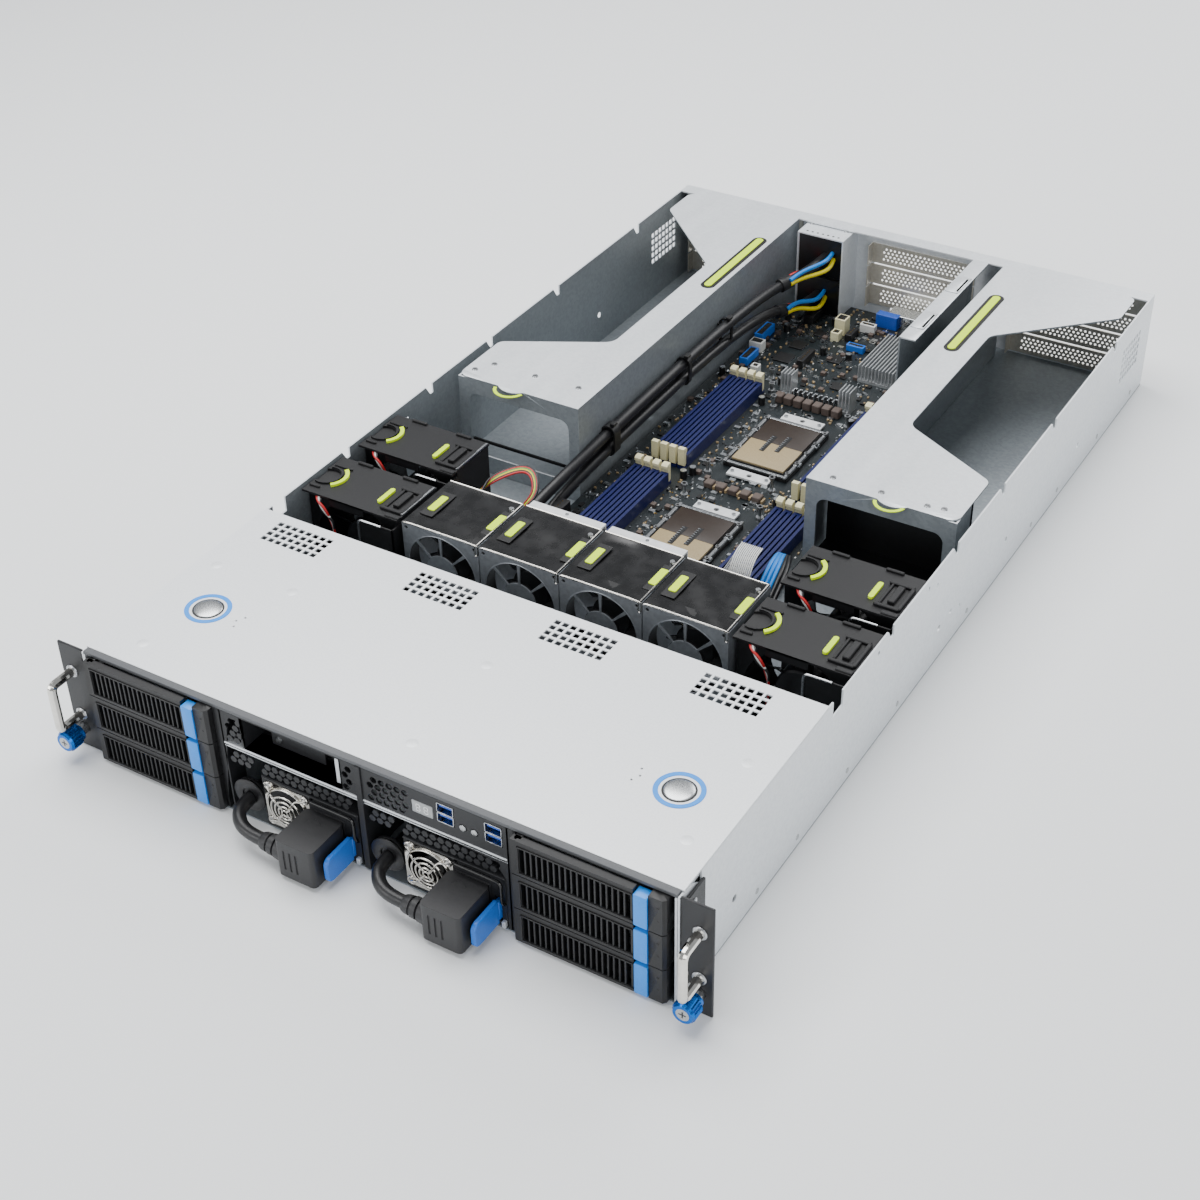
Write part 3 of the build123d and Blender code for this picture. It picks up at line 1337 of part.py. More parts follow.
# Memory sockets in four banks of four, with an upright latch at each end
bank_fronts = (321.0, 480.0)
bank_length = 138.0
memory_columns_x = (-72.0, -64.0, -56.0, -48.0, 52.0, 60.0, 68.0, 76.0)
memory_width = 6.5
memory_height = 11.4
memory_foot_height = 2.0
memory_slot_width = 1.6
memory_slot_depth = 8.0
memory_slot_inset = 3.0
memory_end_gap = 0.2
memory_latch_width = 5.5
memory_latch_thickness = 4.0
memory_latch_height = 16.0
memory_latch_chamfer = 1.2
memory_latch_nose = 1.6
memory_latch_nose_height = 3.4
memory_latch_gap = 0.6


def memory_socket(middle_x, front):
    """One socket: a grooved bar on a foot that also carries its two latches."""
    left = middle_x - memory_width / 2
    right = middle_x + memory_width / 2
    low = board_top + seat_gap
    rear = front + bank_length
    latch_room = memory_latch_thickness + memory_end_gap
    block((left, right), (front, rear), (low, low + memory_foot_height))
    block((left, right), (front + latch_room, rear - latch_room), (low, low + memory_height))
    block((middle_x - memory_slot_width / 2, middle_x + memory_slot_width / 2),
          (front + latch_room + memory_slot_inset, rear - latch_room - memory_slot_inset),
          (low + memory_height - memory_slot_depth, low + memory_height + overrun), mode=Mode.SUBTRACT)


def latch_row(outer_depth, inward):
    """A row of eight latches: inward is 1 where the sockets lie behind them, and -1 in front."""
    low = board_top + seat_gap + memory_foot_height + memory_latch_gap
    high = low + memory_latch_height
    inner_depth = outer_depth + inward * memory_latch_thickness
    nose_depth = inner_depth + inward * memory_latch_nose
    for middle_x in memory_columns_x:
        with BuildSketch(side_plane(middle_x - memory_latch_width / 2)) as outline:
            with BuildLine():
                Polyline((outer_depth, low + memory_latch_chamfer),
                         (outer_depth + inward * memory_latch_chamfer, low),
                         (inner_depth - inward * memory_latch_chamfer, low),
                         (inner_depth, low + memory_latch_chamfer),
                         (inner_depth, high - memory_latch_nose_height - memory_latch_nose),
                         (nose_depth, high - memory_latch_nose_height),
                         (nose_depth, high - memory_latch_chamfer),
                         (inner_depth, high), (outer_depth, high), close=True)
            make_face()
        extrude(outline.sketch, amount=memory_latch_width)


with BuildPart() as dimm_sockets:
    for front in bank_fronts:
        for middle_x in memory_columns_x:
            memory_socket(middle_x, front)
save(dimm_sockets, "dimm_sockets")

latch_number = 0
for front in bank_fronts:
    for outer_depth, inward in ((front, 1), (front + bank_length, -1)):
        latch_number += 1
        with BuildPart() as latches:
            latch_row(outer_depth, inward)
        save(latches, f"dimm_latches_{latch_number}")
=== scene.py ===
"""A 2U rack server with its rear lid off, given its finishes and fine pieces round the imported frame."""
import random
from math import cos, pi, radians, sin

import bmesh
import bpy
from mathutils import Matrix, Vector


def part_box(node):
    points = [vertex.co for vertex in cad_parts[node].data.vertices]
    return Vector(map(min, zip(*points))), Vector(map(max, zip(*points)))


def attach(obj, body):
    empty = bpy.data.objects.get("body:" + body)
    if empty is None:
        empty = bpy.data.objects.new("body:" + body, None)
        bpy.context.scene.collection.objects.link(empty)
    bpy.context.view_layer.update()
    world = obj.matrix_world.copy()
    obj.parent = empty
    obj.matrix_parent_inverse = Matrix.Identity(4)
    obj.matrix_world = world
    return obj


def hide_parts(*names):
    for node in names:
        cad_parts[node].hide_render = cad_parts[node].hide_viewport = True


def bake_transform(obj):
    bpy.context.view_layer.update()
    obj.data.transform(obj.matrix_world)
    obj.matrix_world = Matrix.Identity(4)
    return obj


bl_info = {
    "name": "Rack Server Dressing",
    "version": (1, 0, 0),
    "blender": (4, 5, 0),
    "location": "View3D > Sidebar > Rack Server",
    "description": "Gives a rack server its finishes, perforations, boards, fans and cables",
    "category": "Object",
}

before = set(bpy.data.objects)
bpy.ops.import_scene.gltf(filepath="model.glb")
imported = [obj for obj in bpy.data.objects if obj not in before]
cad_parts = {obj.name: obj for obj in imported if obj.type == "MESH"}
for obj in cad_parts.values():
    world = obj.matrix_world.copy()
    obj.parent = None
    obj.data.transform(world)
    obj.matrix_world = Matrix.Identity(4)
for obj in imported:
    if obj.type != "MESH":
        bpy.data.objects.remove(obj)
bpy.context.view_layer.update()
MM = 0.001
FRONT_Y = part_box("floor_pan")[0].y
SIDES = (("left", -1), ("right", 1))


def at(x, depth, z):
    """A point in metres from X, the depth behind the ears' front face and the height, in millimetres."""
    return Vector((x * MM, FRONT_Y + depth * MM, z * MM))


def node_range(node, axis):
    """Where a node of the frame begins and ends along an axis, in millimetres; along Y as depths."""
    low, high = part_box(node)
    origin = (0.0, FRONT_Y, 0.0)[axis]
    return (low[axis] - origin) / MM, (high[axis] - origin) / MM


# Planes for flat work: local x and y lie in the sheet, and local z is its outward side

def facing_front(depth):
    """Local x is X and local y is height; outward is towards the front."""
    return Matrix(((1, 0, 0, 0), (0, 0, -1, FRONT_Y + depth * MM), (0, 1, 0, 0), (0, 0, 0, 1)))


def facing_up(height):
    """Local x is X and local y is depth; outward is up."""
    return Matrix(((1, 0, 0, 0), (0, 1, 0, FRONT_Y), (0, 0, 1, height * MM), (0, 0, 0, 1)))


def facing_right(x):
    """Local x is depth and local y is height; outward is to the right."""
    return Matrix(((0, 0, 1, x * MM), (1, 0, 0, FRONT_Y), (0, 1, 0, 0), (0, 0, 0, 1)))


def add_object(name, data):
    """A new object in the scene."""
    made = bpy.data.objects.new(name, data)
    bpy.context.scene.collection.objects.link(made)
    return made


class Piece:
    """One piece in the making: its bmesh and the keys of the finishes that its faces point to."""

    def __init__(self, main_finish):
        self.bm = bmesh.new()
        self.finishes = [main_finish]

    def colour(self, faces, finish):
        """Give faces a finish by its key; without one they take the piece's main finish."""
        if finish and finish not in self.finishes:
            self.finishes.append(finish)
        index = self.finishes.index(finish) if finish else 0
        for face in faces:
            face.material_index = index

    def paint(self, verts, finish):
        """Give the faces on these new vertices a finish."""
        self.colour({f for v in verts for f in v.link_faces}, finish)
        return verts

    def bevel(self, edges, offset, segments):
        """Round edges off, by an offset in millimetres."""
        bmesh.ops.bevel(self.bm, geom=edges, offset=offset * MM, affect="EDGES", segments=segments,
                        profile=0.5, material=-1, clamp_overlap=True)

    def block(self, across, depths, heights, finish=None, bevel=0.0, segments=1):
        """A box between two values of X, two depths and two heights, its edges broken by a bevel."""
        verts = bmesh.ops.create_cube(self.bm, size=1.0)["verts"]
        low = at(across[0], depths[0], heights[0])
        high = at(across[1], depths[1], heights[1])
        bmesh.ops.scale(self.bm, vec=high - low, verts=verts)
        bmesh.ops.translate(self.bm, vec=(low + high) / 2, verts=verts)
        self.paint(verts, finish)
        if bevel > 0:
            self.bevel(list({e for v in verts for e in v.link_edges}), bevel, segments)
        return verts

    def blocks(self, *rows):
        """Boxes, each given as block takes one."""
        for row in rows:
            self.block(*row)

    def round_corners(self, verts, radius, segments, axis="z", where=None):
        """Round the edges of these vertices that run along an axis, or those of them that where picks."""
        edges = [e for e in {e for v in verts for e in v.link_edges}
                 if abs(getattr((e.verts[0].co - e.verts[1].co).normalized(), axis)) > 0.9
                 and (where is None or where(e.verts[0].co))]
        bmesh.ops.bevel(self.bm, geom=edges, offset=radius * MM, affect="EDGES", segments=segments,
                        profile=0.5, material=-1)

    def rod(self, start, end, radius, far_radius=None, sides=20, finish=None, bevel=0.0):
        """A round or many-sided bar, or a cone, between two points in metres."""
        along = end - start
        turn = along.to_track_quat("Z", "Y").to_matrix().to_4x4()
        place = Matrix.Translation((start + end) / 2) @ turn
        far = radius if far_radius is None else far_radius
        verts = bmesh.ops.create_cone(self.bm, cap_ends=True, segments=sides, radius1=radius * MM,
                                      radius2=far * MM, depth=along.length, matrix=place)["verts"]
        self.paint(verts, finish)
        if bevel > 0:
            rims = [e for e in {e for v in verts for e in v.link_edges}
                    if any(len(f.verts) > 4 for f in e.link_faces)]
            self.bevel(rims, bevel, 2)
        return verts

    def upright(self, x, depth, heights, radius, far_radius=None, **settings):
        """A rod at a place on the floor plan, between two heights."""
        return self.rod(at(x, depth, heights[0]), at(x, depth, heights[1]), radius, far_radius, **settings)

    def level(self, x, depths, height, radius, far_radius=None, **settings):
        """A rod that runs along Y, between two depths."""
        return self.rod(at(x, depths[0], height), at(x, depths[1], height), radius, far_radius, **settings)

    def ring(self, centre, axis, radius, wire, sides, wire_sides, finish=None):
        """A wire of a given radius spun a full turn round an axis."""
        turn = axis.to_track_quat("Z", "Y").to_matrix()
        out = turn @ Vector((1, 0, 0))
        along = turn @ Vector((0, 1, 0))
        place = Matrix((out, axis.normalized(), along)).transposed().to_4x4()
        place.translation = centre + out * radius * MM
        made = bmesh.ops.create_circle(self.bm, segments=wire_sides, radius=wire * MM, matrix=place)
        verts = made["verts"]
        edges = list({e for v in verts for e in v.link_edges})
        bmesh.ops.spin(self.bm, geom=verts + edges, cent=centre, axis=axis, angle=2 * pi, steps=sides,
                       use_merge=True)
        faces = {f for v in verts for f in v.link_faces}
        grown = set(faces)
        while faces:
            faces = {g for f in faces for e in f.edges for g in e.link_faces} - grown
            grown |= faces
        self.colour(grown, finish)
        bmesh.ops.recalc_face_normals(self.bm, faces=list(grown))

    def sheet(self, place, outline, holes, thickness, finish=None):
        """A flat sheet of an outline with holes, its outward face on the plane and its thickness behind it.
        The outline and any hole may be a list of points; a many-sided hole is (x, y, radius, sides, turn)."""
        edges = []
        for corners in [outline] + [hole for hole in holes if isinstance(hole, list)]:
            verts = [self.bm.verts.new((x * MM, y * MM, 0)) for x, y in corners]
            edges += [self.bm.edges.new((verts[i - 1], verts[i])) for i in range(len(verts))]
        for x, y, radius, sides, turn in [hole for hole in holes if not isinstance(hole, list)]:
            spot = Matrix.Translation((x * MM, y * MM, 0)) @ Matrix.Rotation(radians(turn), 4, "Z")
            made = bmesh.ops.create_circle(self.bm, segments=sides, radius=radius * MM, matrix=spot)
            edges += list({e for v in made["verts"] for e in v.link_edges})
        filled = bmesh.ops.triangle_fill(self.bm, use_beauty=True, edges=edges)
        faces = [g for g in filled["geom"] if isinstance(g, bmesh.types.BMFace)]
        bmesh.ops.recalc_face_normals(self.bm, faces=faces)
        raised = bmesh.ops.extrude_face_region(self.bm, geom=faces)["geom"]
        moved = [g for g in raised if isinstance(g, bmesh.types.BMVert)]
        bmesh.ops.translate(self.bm, vec=(0, 0, -thickness * MM), verts=moved)
        verts = list({v for f in faces if f.is_valid for v in f.verts} | set(moved))
        whole = list({f for v in verts for f in v.link_faces})
        bmesh.ops.recalc_face_normals(self.bm, faces=whole)
        bmesh.ops.transform(self.bm, matrix=place, verts=verts)
        if place.determinant() < 0:
            bmesh.ops.reverse_faces(self.bm, faces=whole)
        return self.paint(verts, finish)

    def lathe(self, profile, centre, axis, sides, finish=None):
        """A profile of (radius, place along the axis) points, in millimetres, spun a full turn."""
        turn = axis.to_track_quat("Z", "Y").to_matrix()
        out = turn @ Vector((1, 0, 0))
        line = [self.bm.verts.new(centre + out * radius * MM + axis * place * MM) for radius,
                place in profile]
        edges = [self.bm.edges.new(pair) for pair in zip(line, line[1:])]
        before = set(self.bm.faces)
        bmesh.ops.spin(self.bm, geom=line + edges, cent=centre, axis=axis, angle=2 * pi, steps=sides,
                       use_merge=True)
        faces = [f for f in self.bm.faces if f not in before]
        verts = list({v for f in faces for v in f.verts})
        bmesh.ops.remove_doubles(self.bm, verts=verts, dist=1e-7)
        faces = [f for f in self.bm.faces if f not in before]
        bmesh.ops.recalc_face_normals(self.bm, faces=faces)
        return self.paint([v for v in verts if v.is_valid], finish)

    def slice(self, verts, places):
        """Cut these vertices' shape by planes of (point, normal), and return all of its faces."""
        faces = {f for v in verts for f in v.link_faces}
        geom = list(verts) + list({e for v in verts for e in v.link_edges}) + list(faces)
        for place, normal in places:
            made = bmesh.ops.bisect_plane(self.bm, geom=geom, dist=1e-7, plane_co=place, plane_no=normal)
            geom = made["geom"]
        return [g for g in geom if isinstance(g, bmesh.types.BMFace)]

    def sink(self, faces, border, depth):
        """Sink each of these faces by a depth inside a sloped border of its own, both in millimetres."""
        bmesh.ops.inset_individual(self.bm, faces=faces, thickness=border * MM, depth=-depth * MM)

    def tube(self, points, radius, finish=None):
        """Add a smooth bent bar along control points in metres."""
        mesh = mesh_of(bent_bar("bar", points, radius), "bar")
        before = set(self.bm.faces)
        self.bm.from_mesh(mesh)
        bpy.data.meshes.remove(mesh)
        self.colour([face for face in self.bm.faces if face not in before], finish)

    def copy_node(self, node, choose):
        """Add a merged copy of a frame node; choose gives a face's finish from its centre and normal."""
        before = set(self.bm.verts)
        self.bm.from_mesh(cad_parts[node].data)
        verts = [v for v in self.bm.verts if v not in before]
        bmesh.ops.remove_doubles(self.bm, verts=verts, dist=1e-6)
        verts = [v for v in self.bm.verts if v.is_valid and v not in before]
        for face in {f for v in verts for f in v.link_faces}:
            self.colour([face], choose(face.calc_center_median(), face.normal))
        return verts

    def finish(self, name, body="chassis", replaces=(), slot=None, bevel=0.0, angle=35.0):
        """Turn the bmesh into an object on its body, smooth where faces meet at a small angle."""
        mesh = bpy.data.meshes.new(name)
        self.bm.to_mesh(mesh)
        self.bm.free()
        for finish in self.finishes:
            mesh.materials.append(FINISHES[finish])
        mesh.shade_smooth()
        mesh.set_sharp_from_angle(angle=radians(angle))
        made = add_object(name, mesh)
        if bevel > 0:
            broken = made.modifiers.new("broken_edges", "BEVEL")
            broken.width = bevel * MM
            broken.segments = 1
            broken.limit_method = "ANGLE"
            broken.angle_limit = radians(angle)
        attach(made, body)
        if replaces:
            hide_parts(*replaces)
        return made


# Finishes

def linear(code):
    """The linear colour of an sRGB hex value."""
    parts = [int(code[i:i + 2], 16) / 255 for i in (1, 3, 5)]
    return tuple(c / 12.92 if c <= 0.04045 else ((c + 0.055) / 1.055) ** 2.4 for c in parts) + (1.0,)


def add_node(material, kind, inputs=None, **settings):
    """Add a node, set its properties, and set or link its inputs."""
    node = material.node_tree.nodes.new(kind)
    for name, value in settings.items():
        setattr(node, name, value)
    for key, value in (inputs or {}).items():
        if isinstance(value, bpy.types.NodeSocket):
            material.node_tree.links.new(value, node.inputs[key])
        else:
            node.inputs[key].default_value = value
    return node


def new_finish(name, **sockets):
    """A material with a Principled shader whose constant inputs are set on its own sockets."""
    material = bpy.data.materials.new(name)
    material.use_nodes = True
    shader = material.node_tree.nodes["Principled BSDF"]
    for key, value in sockets.items():
        shader.inputs[key.replace("_", " ")].default_value = value
    return material


def link(material, output, socket):
    """Link a node's output to an input of the material's shader."""
    shader = material.node_tree.nodes["Principled BSDF"]
    material.node_tree.links.new(output, shader.inputs[socket])


def grain(material, spacing, stretch=(1, 1, 1)):
    """Noise on the piece's own coordinates, its spacing a real size in millimetres."""
    place = add_node(material, "ShaderNodeTexCoord").outputs["Object"]
    turned = add_node(material, "ShaderNodeMapping", {"Vector": place, "Scale": stretch})
    return add_node(material, "ShaderNodeTexNoise", {"Vector": turned.outputs["Vector"],
                                                     "Scale": 1 / (spacing * MM), "Detail": 3.0})


def spread(material, factor, low, high):
    """The colour between two hex values; a Mix node's colour sockets are reached by number."""
    return add_node(material, "ShaderNodeMix", {0: factor, 6: linear(low), 7: linear(high)},
                    data_type="RGBA").outputs[2]


def between(material, value, low, high):
    """A noise value, which seldom leaves 0.3 to 0.7, mapped to a range."""
    return add_node(material, "ShaderNodeMapRange", {"Value": value, "From Min": 0.3, "From Max": 0.7,
                                                     "To Min": low, "To Max": high}).outputs["Result"]


def grained_finish(name, low, high, spacing, rough, bump, metal=0.0):
    """A finish whose colour, gloss and relief follow one grain; rough is the range of its roughness."""
    material = new_finish(name, Metallic=metal)
    noise = grain(material, spacing)
    mixed = spread(material, between(material, noise.outputs["Fac"], 0.0, 1.0), low, high)
    link(material, mixed, "Base Color")
    link(material, between(material, noise.outputs["Fac"], *rough), "Roughness")
    if bump > 0:
        relief = add_node(material, "ShaderNodeBump", {"Height": noise.outputs["Fac"], "Strength": 0.6,
                                                       "Distance": bump * MM})
        link(material, relief.outputs["Normal"], "Normal")
    return material


def make_galvanised(name, low, high, metal):
    """Galvanised steel sheet, skin passed and cold formed: a fine spangle of crystals, hardly seen."""
    material = new_finish(name, Metallic=metal)
    place = add_node(material, "ShaderNodeTexCoord").outputs["Object"]
    crystals = add_node(material, "ShaderNodeTexVoronoi", {"Vector": place, "Scale": 1 / (2.2 * MM)})
    shade = add_node(material, "ShaderNodeSeparateColor", {"Color": crystals.outputs["Color"]})
    mixed = spread(material, shade.outputs["Red"], low, high)
    link(material, mixed, "Base Color")
    rolled = grain(material, 14.0, (1.0, 0.12, 1.0))
    link(material, between(material, rolled.outputs["Fac"], 0.34, 0.44), "Roughness")
    return material


FINISHES = {}

# Each finish of one grain: its name, its two colours, the grain's width in millimetres, the range of its
# roughness, its relief in millimetres and, where it is a metal or holds metal flakes, how metallic it is
GRAINED = {
    # Powder-coated cover: a pale, even coat with an orange-peel relief about 1.5 mm wide
    "cover": ("powder_coated_cover", "#e9ecef", "#f1f4f6", 1.5, (0.36, 0.44), 0.01, 0.25),
    # Black powder coat: sand-like relief of 0.5 mm grit, drawn at 0.9 mm so that it shows
    "black_coat": ("black_powder_coat", "#1b1c1e", "#232427", 0.9, (0.42, 0.56), 0.03),
    "grey_coat": ("grey_powder_coat", "#4c4e51", "#55575a", 0.9, (0.4, 0.5), 0.02),
    "gloss_black": ("black_enamelled_wire", "#08080a", "#0e0e10", 3.0, (0.12, 0.2), 0.0),
    "button": ("satin_steel_button", "#a8aaac", "#bfc1c3", 0.6, (0.28, 0.36), 0.0, 1.0),
    # Spark-eroded ABS mouldings, with a grain of about 0.6 mm and a dull sheen
    "black_abs": ("black_moulded_abs", "#0d0d0f", "#131315", 0.8, (0.36, 0.5), 0.02),
    "blue_abs": ("blue_moulded_abs", "#0f62c4", "#1a72d6", 0.8, (0.32, 0.42), 0.01),
    "bright_blue_abs": ("bright_blue_moulded_abs", "#1d86e6", "#2c93ee", 0.8, (0.3, 0.4), 0.01),
    "lime": ("lime_moulded_nylon", "#d2f400", "#dcff08", 1.2, (0.35, 0.45), 0.01),
    "cream": ("cream_moulded_nylon", "#d6cfa4", "#e2dcb6", 1.2, (0.38, 0.5), 0.01),
    "dimm_blue": ("blue_glass_filled_nylon", "#020e44", "#041454", 1.0, (0.34, 0.5), 0.02),
    "black_nylon": ("black_glass_filled_nylon", "#0c0c0d", "#151517", 0.7, (0.4, 0.55), 0.02),
    # Blue anodised aluminium, turned and knurled
    "anodised": ("blue_anodised_aluminium", "#0b5db4", "#1670cb", 0.6, (0.22, 0.32), 0.005, 0.9),
    # Bright chrome plate over bent steel, with faint drawing marks
    "chrome": ("chrome_plated_steel", "#d7d4cd", "#e6e3dc", 4.0, (0.08, 0.16), 0.0, 1.0),
    # Nickel plate on stamped steel: a warm grey
    "nickel": ("nickel_plated_steel", "#c6c1b5", "#d2cec3", 3.0, (0.28, 0.38), 0.0, 0.5),
    "tin": ("tinned_steel_shell", "#c2c5c8", "#d5d8da", 2.0, (0.2, 0.3), 0.0, 1.0),
    # Turned aluminium caps, satin
    "turned": ("turned_aluminium", "#b9bbbd", "#cdcfd0", 0.5, (0.24, 0.32), 0.004, 1.0),
    # Extruded aluminium sinks, lightly blasted
    "sink": ("extruded_aluminium_sink", "#b4b7b9", "#c4c7c9", 1.5, (0.3, 0.42), 0.01, 0.6),
    # Vulcanised rubber and soft PVC jackets: very dark with a soft highlight
    "rubber": ("black_pvc_jacket", "#101012", "#17171a", 1.2, (0.34, 0.46), 0.01),
    "plug": ("black_moulded_pvc_plug", "#1d1d1f", "#262628", 1.4, (0.42, 0.54), 0.015),
    # Fan modules of dull electro-galvanised steel, a cool mid grey
    "fan_steel": ("electro_galvanised_steel", "#858a90", "#969ba1", 2.5, (0.34, 0.46), 0.01, 0.5),
    "rotor": ("dark_grey_fan_plastic", "#1c1d1f", "#26272a", 1.0, (0.34, 0.46), 0.01),
    # Polyester film over the fan tunnels: smooth, with a low broad sheen
    "film": ("black_polyester_film", "#060607", "#0b0b0d", 12.0, (0.22, 0.34), 0.015),
    "steel": ("zinc_plated_screw", "#a9abad", "#c0c2c4", 0.8, (0.25, 0.35), 0.004, 1.0),
    "gold": ("gold_plated_contact", "#b98f3c", "#d0a64e", 1.0, (0.2, 0.3), 0.0, 1.0),
    "chip": ("black_epoxy_package", "#0b0b0c", "#141415", 0.6, (0.35, 0.5), 0.01),
    "ferrite": ("grey_ferrite_choke", "#4a3f3a", "#5b4e47", 0.7, (0.5, 0.7), 0.02),
    "white": ("white_moulded_nylon", "#cfd0cc", "#dededa", 1.0, (0.4, 0.5), 0.01),
    "carrier_dark": ("brown_moulded_carrier", "#21160e", "#2b1e14", 1.0, (0.35, 0.5), 0.02),
    "carrier_light": ("beige_moulded_carrier", "#93825f", "#a39270", 1.0, (0.38, 0.5), 0.02),
    "ceramic": ("tan_ceramic_capacitor", "#8d7a5c", "#a08b69", 0.6, (0.35, 0.5), 0.0),
    "display": ("grey_display_lens", "#9b9e9f", "#a9acad", 5.0, (0.18, 0.24), 0.0),
    "segment": ("white_display_segment", "#e6e8e8", "#f2f3f3", 2.0, (0.25, 0.3), 0.0),
    "blue_tongue": ("blue_connector_tongue", "#1747a8", "#2358bd", 0.8, (0.3, 0.4), 0.0),
    "red_wire": ("red_pvc_wire", "#a8191c", "#bd2427", 1.0, (0.35, 0.45), 0.0),
    "yellow_wire": ("yellow_pvc_wire", "#d2c000", "#e0d010", 1.0, (0.35, 0.45), 0.0),
    "green_wire": ("green_pvc_wire", "#2f8a3c", "#3d9b4a", 1.0, (0.35, 0.45), 0.0),
    "white_wire": ("white_pvc_wire", "#c9cac8", "#dcdddb", 1.0, (0.35, 0.45), 0.0),
    "blue_wire": ("blue_pvc_wire", "#0a6fc0", "#1480d4", 1.0, (0.35, 0.45), 0.0),
    # Bright stamped plates and flanges, nearly white under soft light
    "bright_sheet": ("bright_zinc_plated_sheet", "#dfe1e2", "#eaebec", 6.0, (0.3, 0.4), 0.0, 0.3),
}


def make_finishes():
    """Make every finish of the server, kept by a short name."""
    FINISHES["zinc"] = make_galvanised("galvanised_steel_sheet", "#dde1e5", "#e5e9ec", 0.35)
    # A darker blue grey copy of the same galvanised sheet: painted shade for the faces that are turned
    # inwards or away from the light
    FINISHES["shaded_zinc"] = make_galvanised("galvanised_steel_painted_shade", "#8c9398", "#989fa4", 0.45)
    FINISHES["board"] = make_board_finish()
    for key, row in GRAINED.items():
        FINISHES[key] = grained_finish(*row)


def make_board_finish():
    """Epoxy-glass laminate under black solder mask: copper tracks show as slightly raised, paler lines."""
    material = new_finish("black_solder_mask_laminate")
    place = add_node(material, "ShaderNodeTexCoord").outputs["Object"]
    tracks = add_node(material, "ShaderNodeTexBrick", {"Vector": place, "Scale": 1 / (9.0 * MM),
                                                       "Mortar Size": 0.03, "Brick Width": 0.9,
                                                       "Row Height": 0.16, "Color1": linear("#0c1012"),
                                                       "Color2": linear("#11171a"),
                                                       "Mortar": linear("#20292c")}, offset=0.37)
    link(material, tracks.outputs["Color"], "Base Color")
    relief = add_node(material, "ShaderNodeBump", {"Height": tracks.outputs["Fac"], "Strength": 0.4,
                                                   "Distance": 0.05 * MM})
    link(material, relief.outputs["Normal"], "Normal")
    noise = grain(material, 12.0)
    link(material, between(material, noise.outputs["Fac"], 0.28, 0.42), "Roughness")
    return material


def give(finish, *nodes):
    """Put a finish on nodes of the frame whose shape stays."""
    for node in nodes:
        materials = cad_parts[node].data.materials
        materials.clear()
        materials.append(FINISHES[finish])


def bent_bar(name, points, radius):
    """A smooth round bar along control points in metres; the order is set after the points are added."""
    curve = bpy.data.curves.new(name, "CURVE")
    curve.dimensions = "3D"
    curve.bevel_depth = radius * MM
    curve.bevel_resolution = 3
    curve.use_fill_caps = True
    spline = curve.splines.new("NURBS")
    spline.points.add(len(points) - 1)
    for point, place in zip(spline.points, points):
        point.co = (*place, 1.0)
    spline.order_u = 3
    spline.use_endpoint_u = True
    spline.resolution_u = 8
    return add_object(name, curve)


def small_cord(name, places, radius, finish):
    """A wire from one fixed end to the other, that goes back into the object."""
    points = [at(*place) for place in places]
    line = spline_points(points)
    made = bent_bar(name, points, radius)
    made.data.materials.append(FINISHES[finish])
    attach(made, "chassis")


# Sizes and colours that a user would change

def amount(name, description, default, low=0.0, unit="LENGTH"):
    """A setting with a unit and a lowest value; lengths are in metres."""
    return bpy.props.FloatProperty(name=name, description=description, default=default, min=low, unit=unit)


def count(name, description, default, low=1):
    """A setting that counts things."""
    return bpy.props.IntProperty(name=name, description=description, default=default, min=low)


class ServerSizes(bpy.types.PropertyGroup):
    """Sizes of the repeated shapes."""

    cover_hole: amount("Cover hole", "Width of a square hole in the front cover", 0.0043, 0.001)
    cover_columns: count("Cover columns", "Holes across in one cover vent", 8)
    cover_rows: count("Cover rows", "Holes deep in one cover vent", 4)
    lever_slats: count("Lever slats", "Upright slats in one tray's grille lever", 18, 2)
    hex_across: amount("Hexagon", "Width across a hexagon hole's corners", 0.0052, 0.001)
    hex_pitch: amount("Hexagon pitch", "From one hexagon hole to the next", 0.0057, 0.0015)
    vent_hole: amount("Wall vent hole", "Width of a square hole in a side wall", 0.0044, 0.001)
    vent_pitch: amount("Wall vent pitch", "From one wall vent hole to the next", 0.0064, 0.0015)


class ServerStage(bpy.types.PropertyGroup):
    """The floor, the light and the lens."""

    floor_colour: bpy.props.FloatVectorProperty(name="Floor", description="Colour of the plain floor",
                                                default=linear("#eef0f1"), size=4, subtype="COLOR",
                                                min=0.0, max=1.0)
    key_power: amount("Key light", "Power of the large overhead softbox", 66.0, unit="POWER")
    fill_power: amount("Fill light", "Power of the softboxes beside the camera", 16.0, unit="POWER")
    rim_power: amount("Rim light", "Power of the softbox behind the server", 26.0, unit="POWER")
    world_strength: amount("Room light", "Strength of the even room light", 0.5, unit="NONE")
    lens: amount("Lens", "Focal length that matches the photographed view", 0.059, unit="CAMERA")


def sizes():
    """The scene's sizes, as set in the panel."""
    return bpy.context.scene.server_sizes


def grid(left, front, pitch_x, pitch_y, columns, rows, radius, sides, turn=0.0, stagger=0.0):
    """Holes in rows and columns, the first one centred at left and front; every other row may be shifted."""
    return [(left + column * pitch_x + stagger * (row % 2), front + row * pitch_y, radius, sides, turn)
            for row in range(rows) for column in range(columns)]


def about(middle, half):
    """The two ends of a stretch about its middle."""
    return middle - half, middle + half


def rectangle(left, right, low, high):
    """The four corners of a rectangle, for an outline."""
    return [(left, low), (right, low), (right, high), (left, high)]


def square(width):
    """The radius that gives a four-sided hole its width."""
    return width / 2 ** 0.5


# Operators, one for each piece or group of like pieces

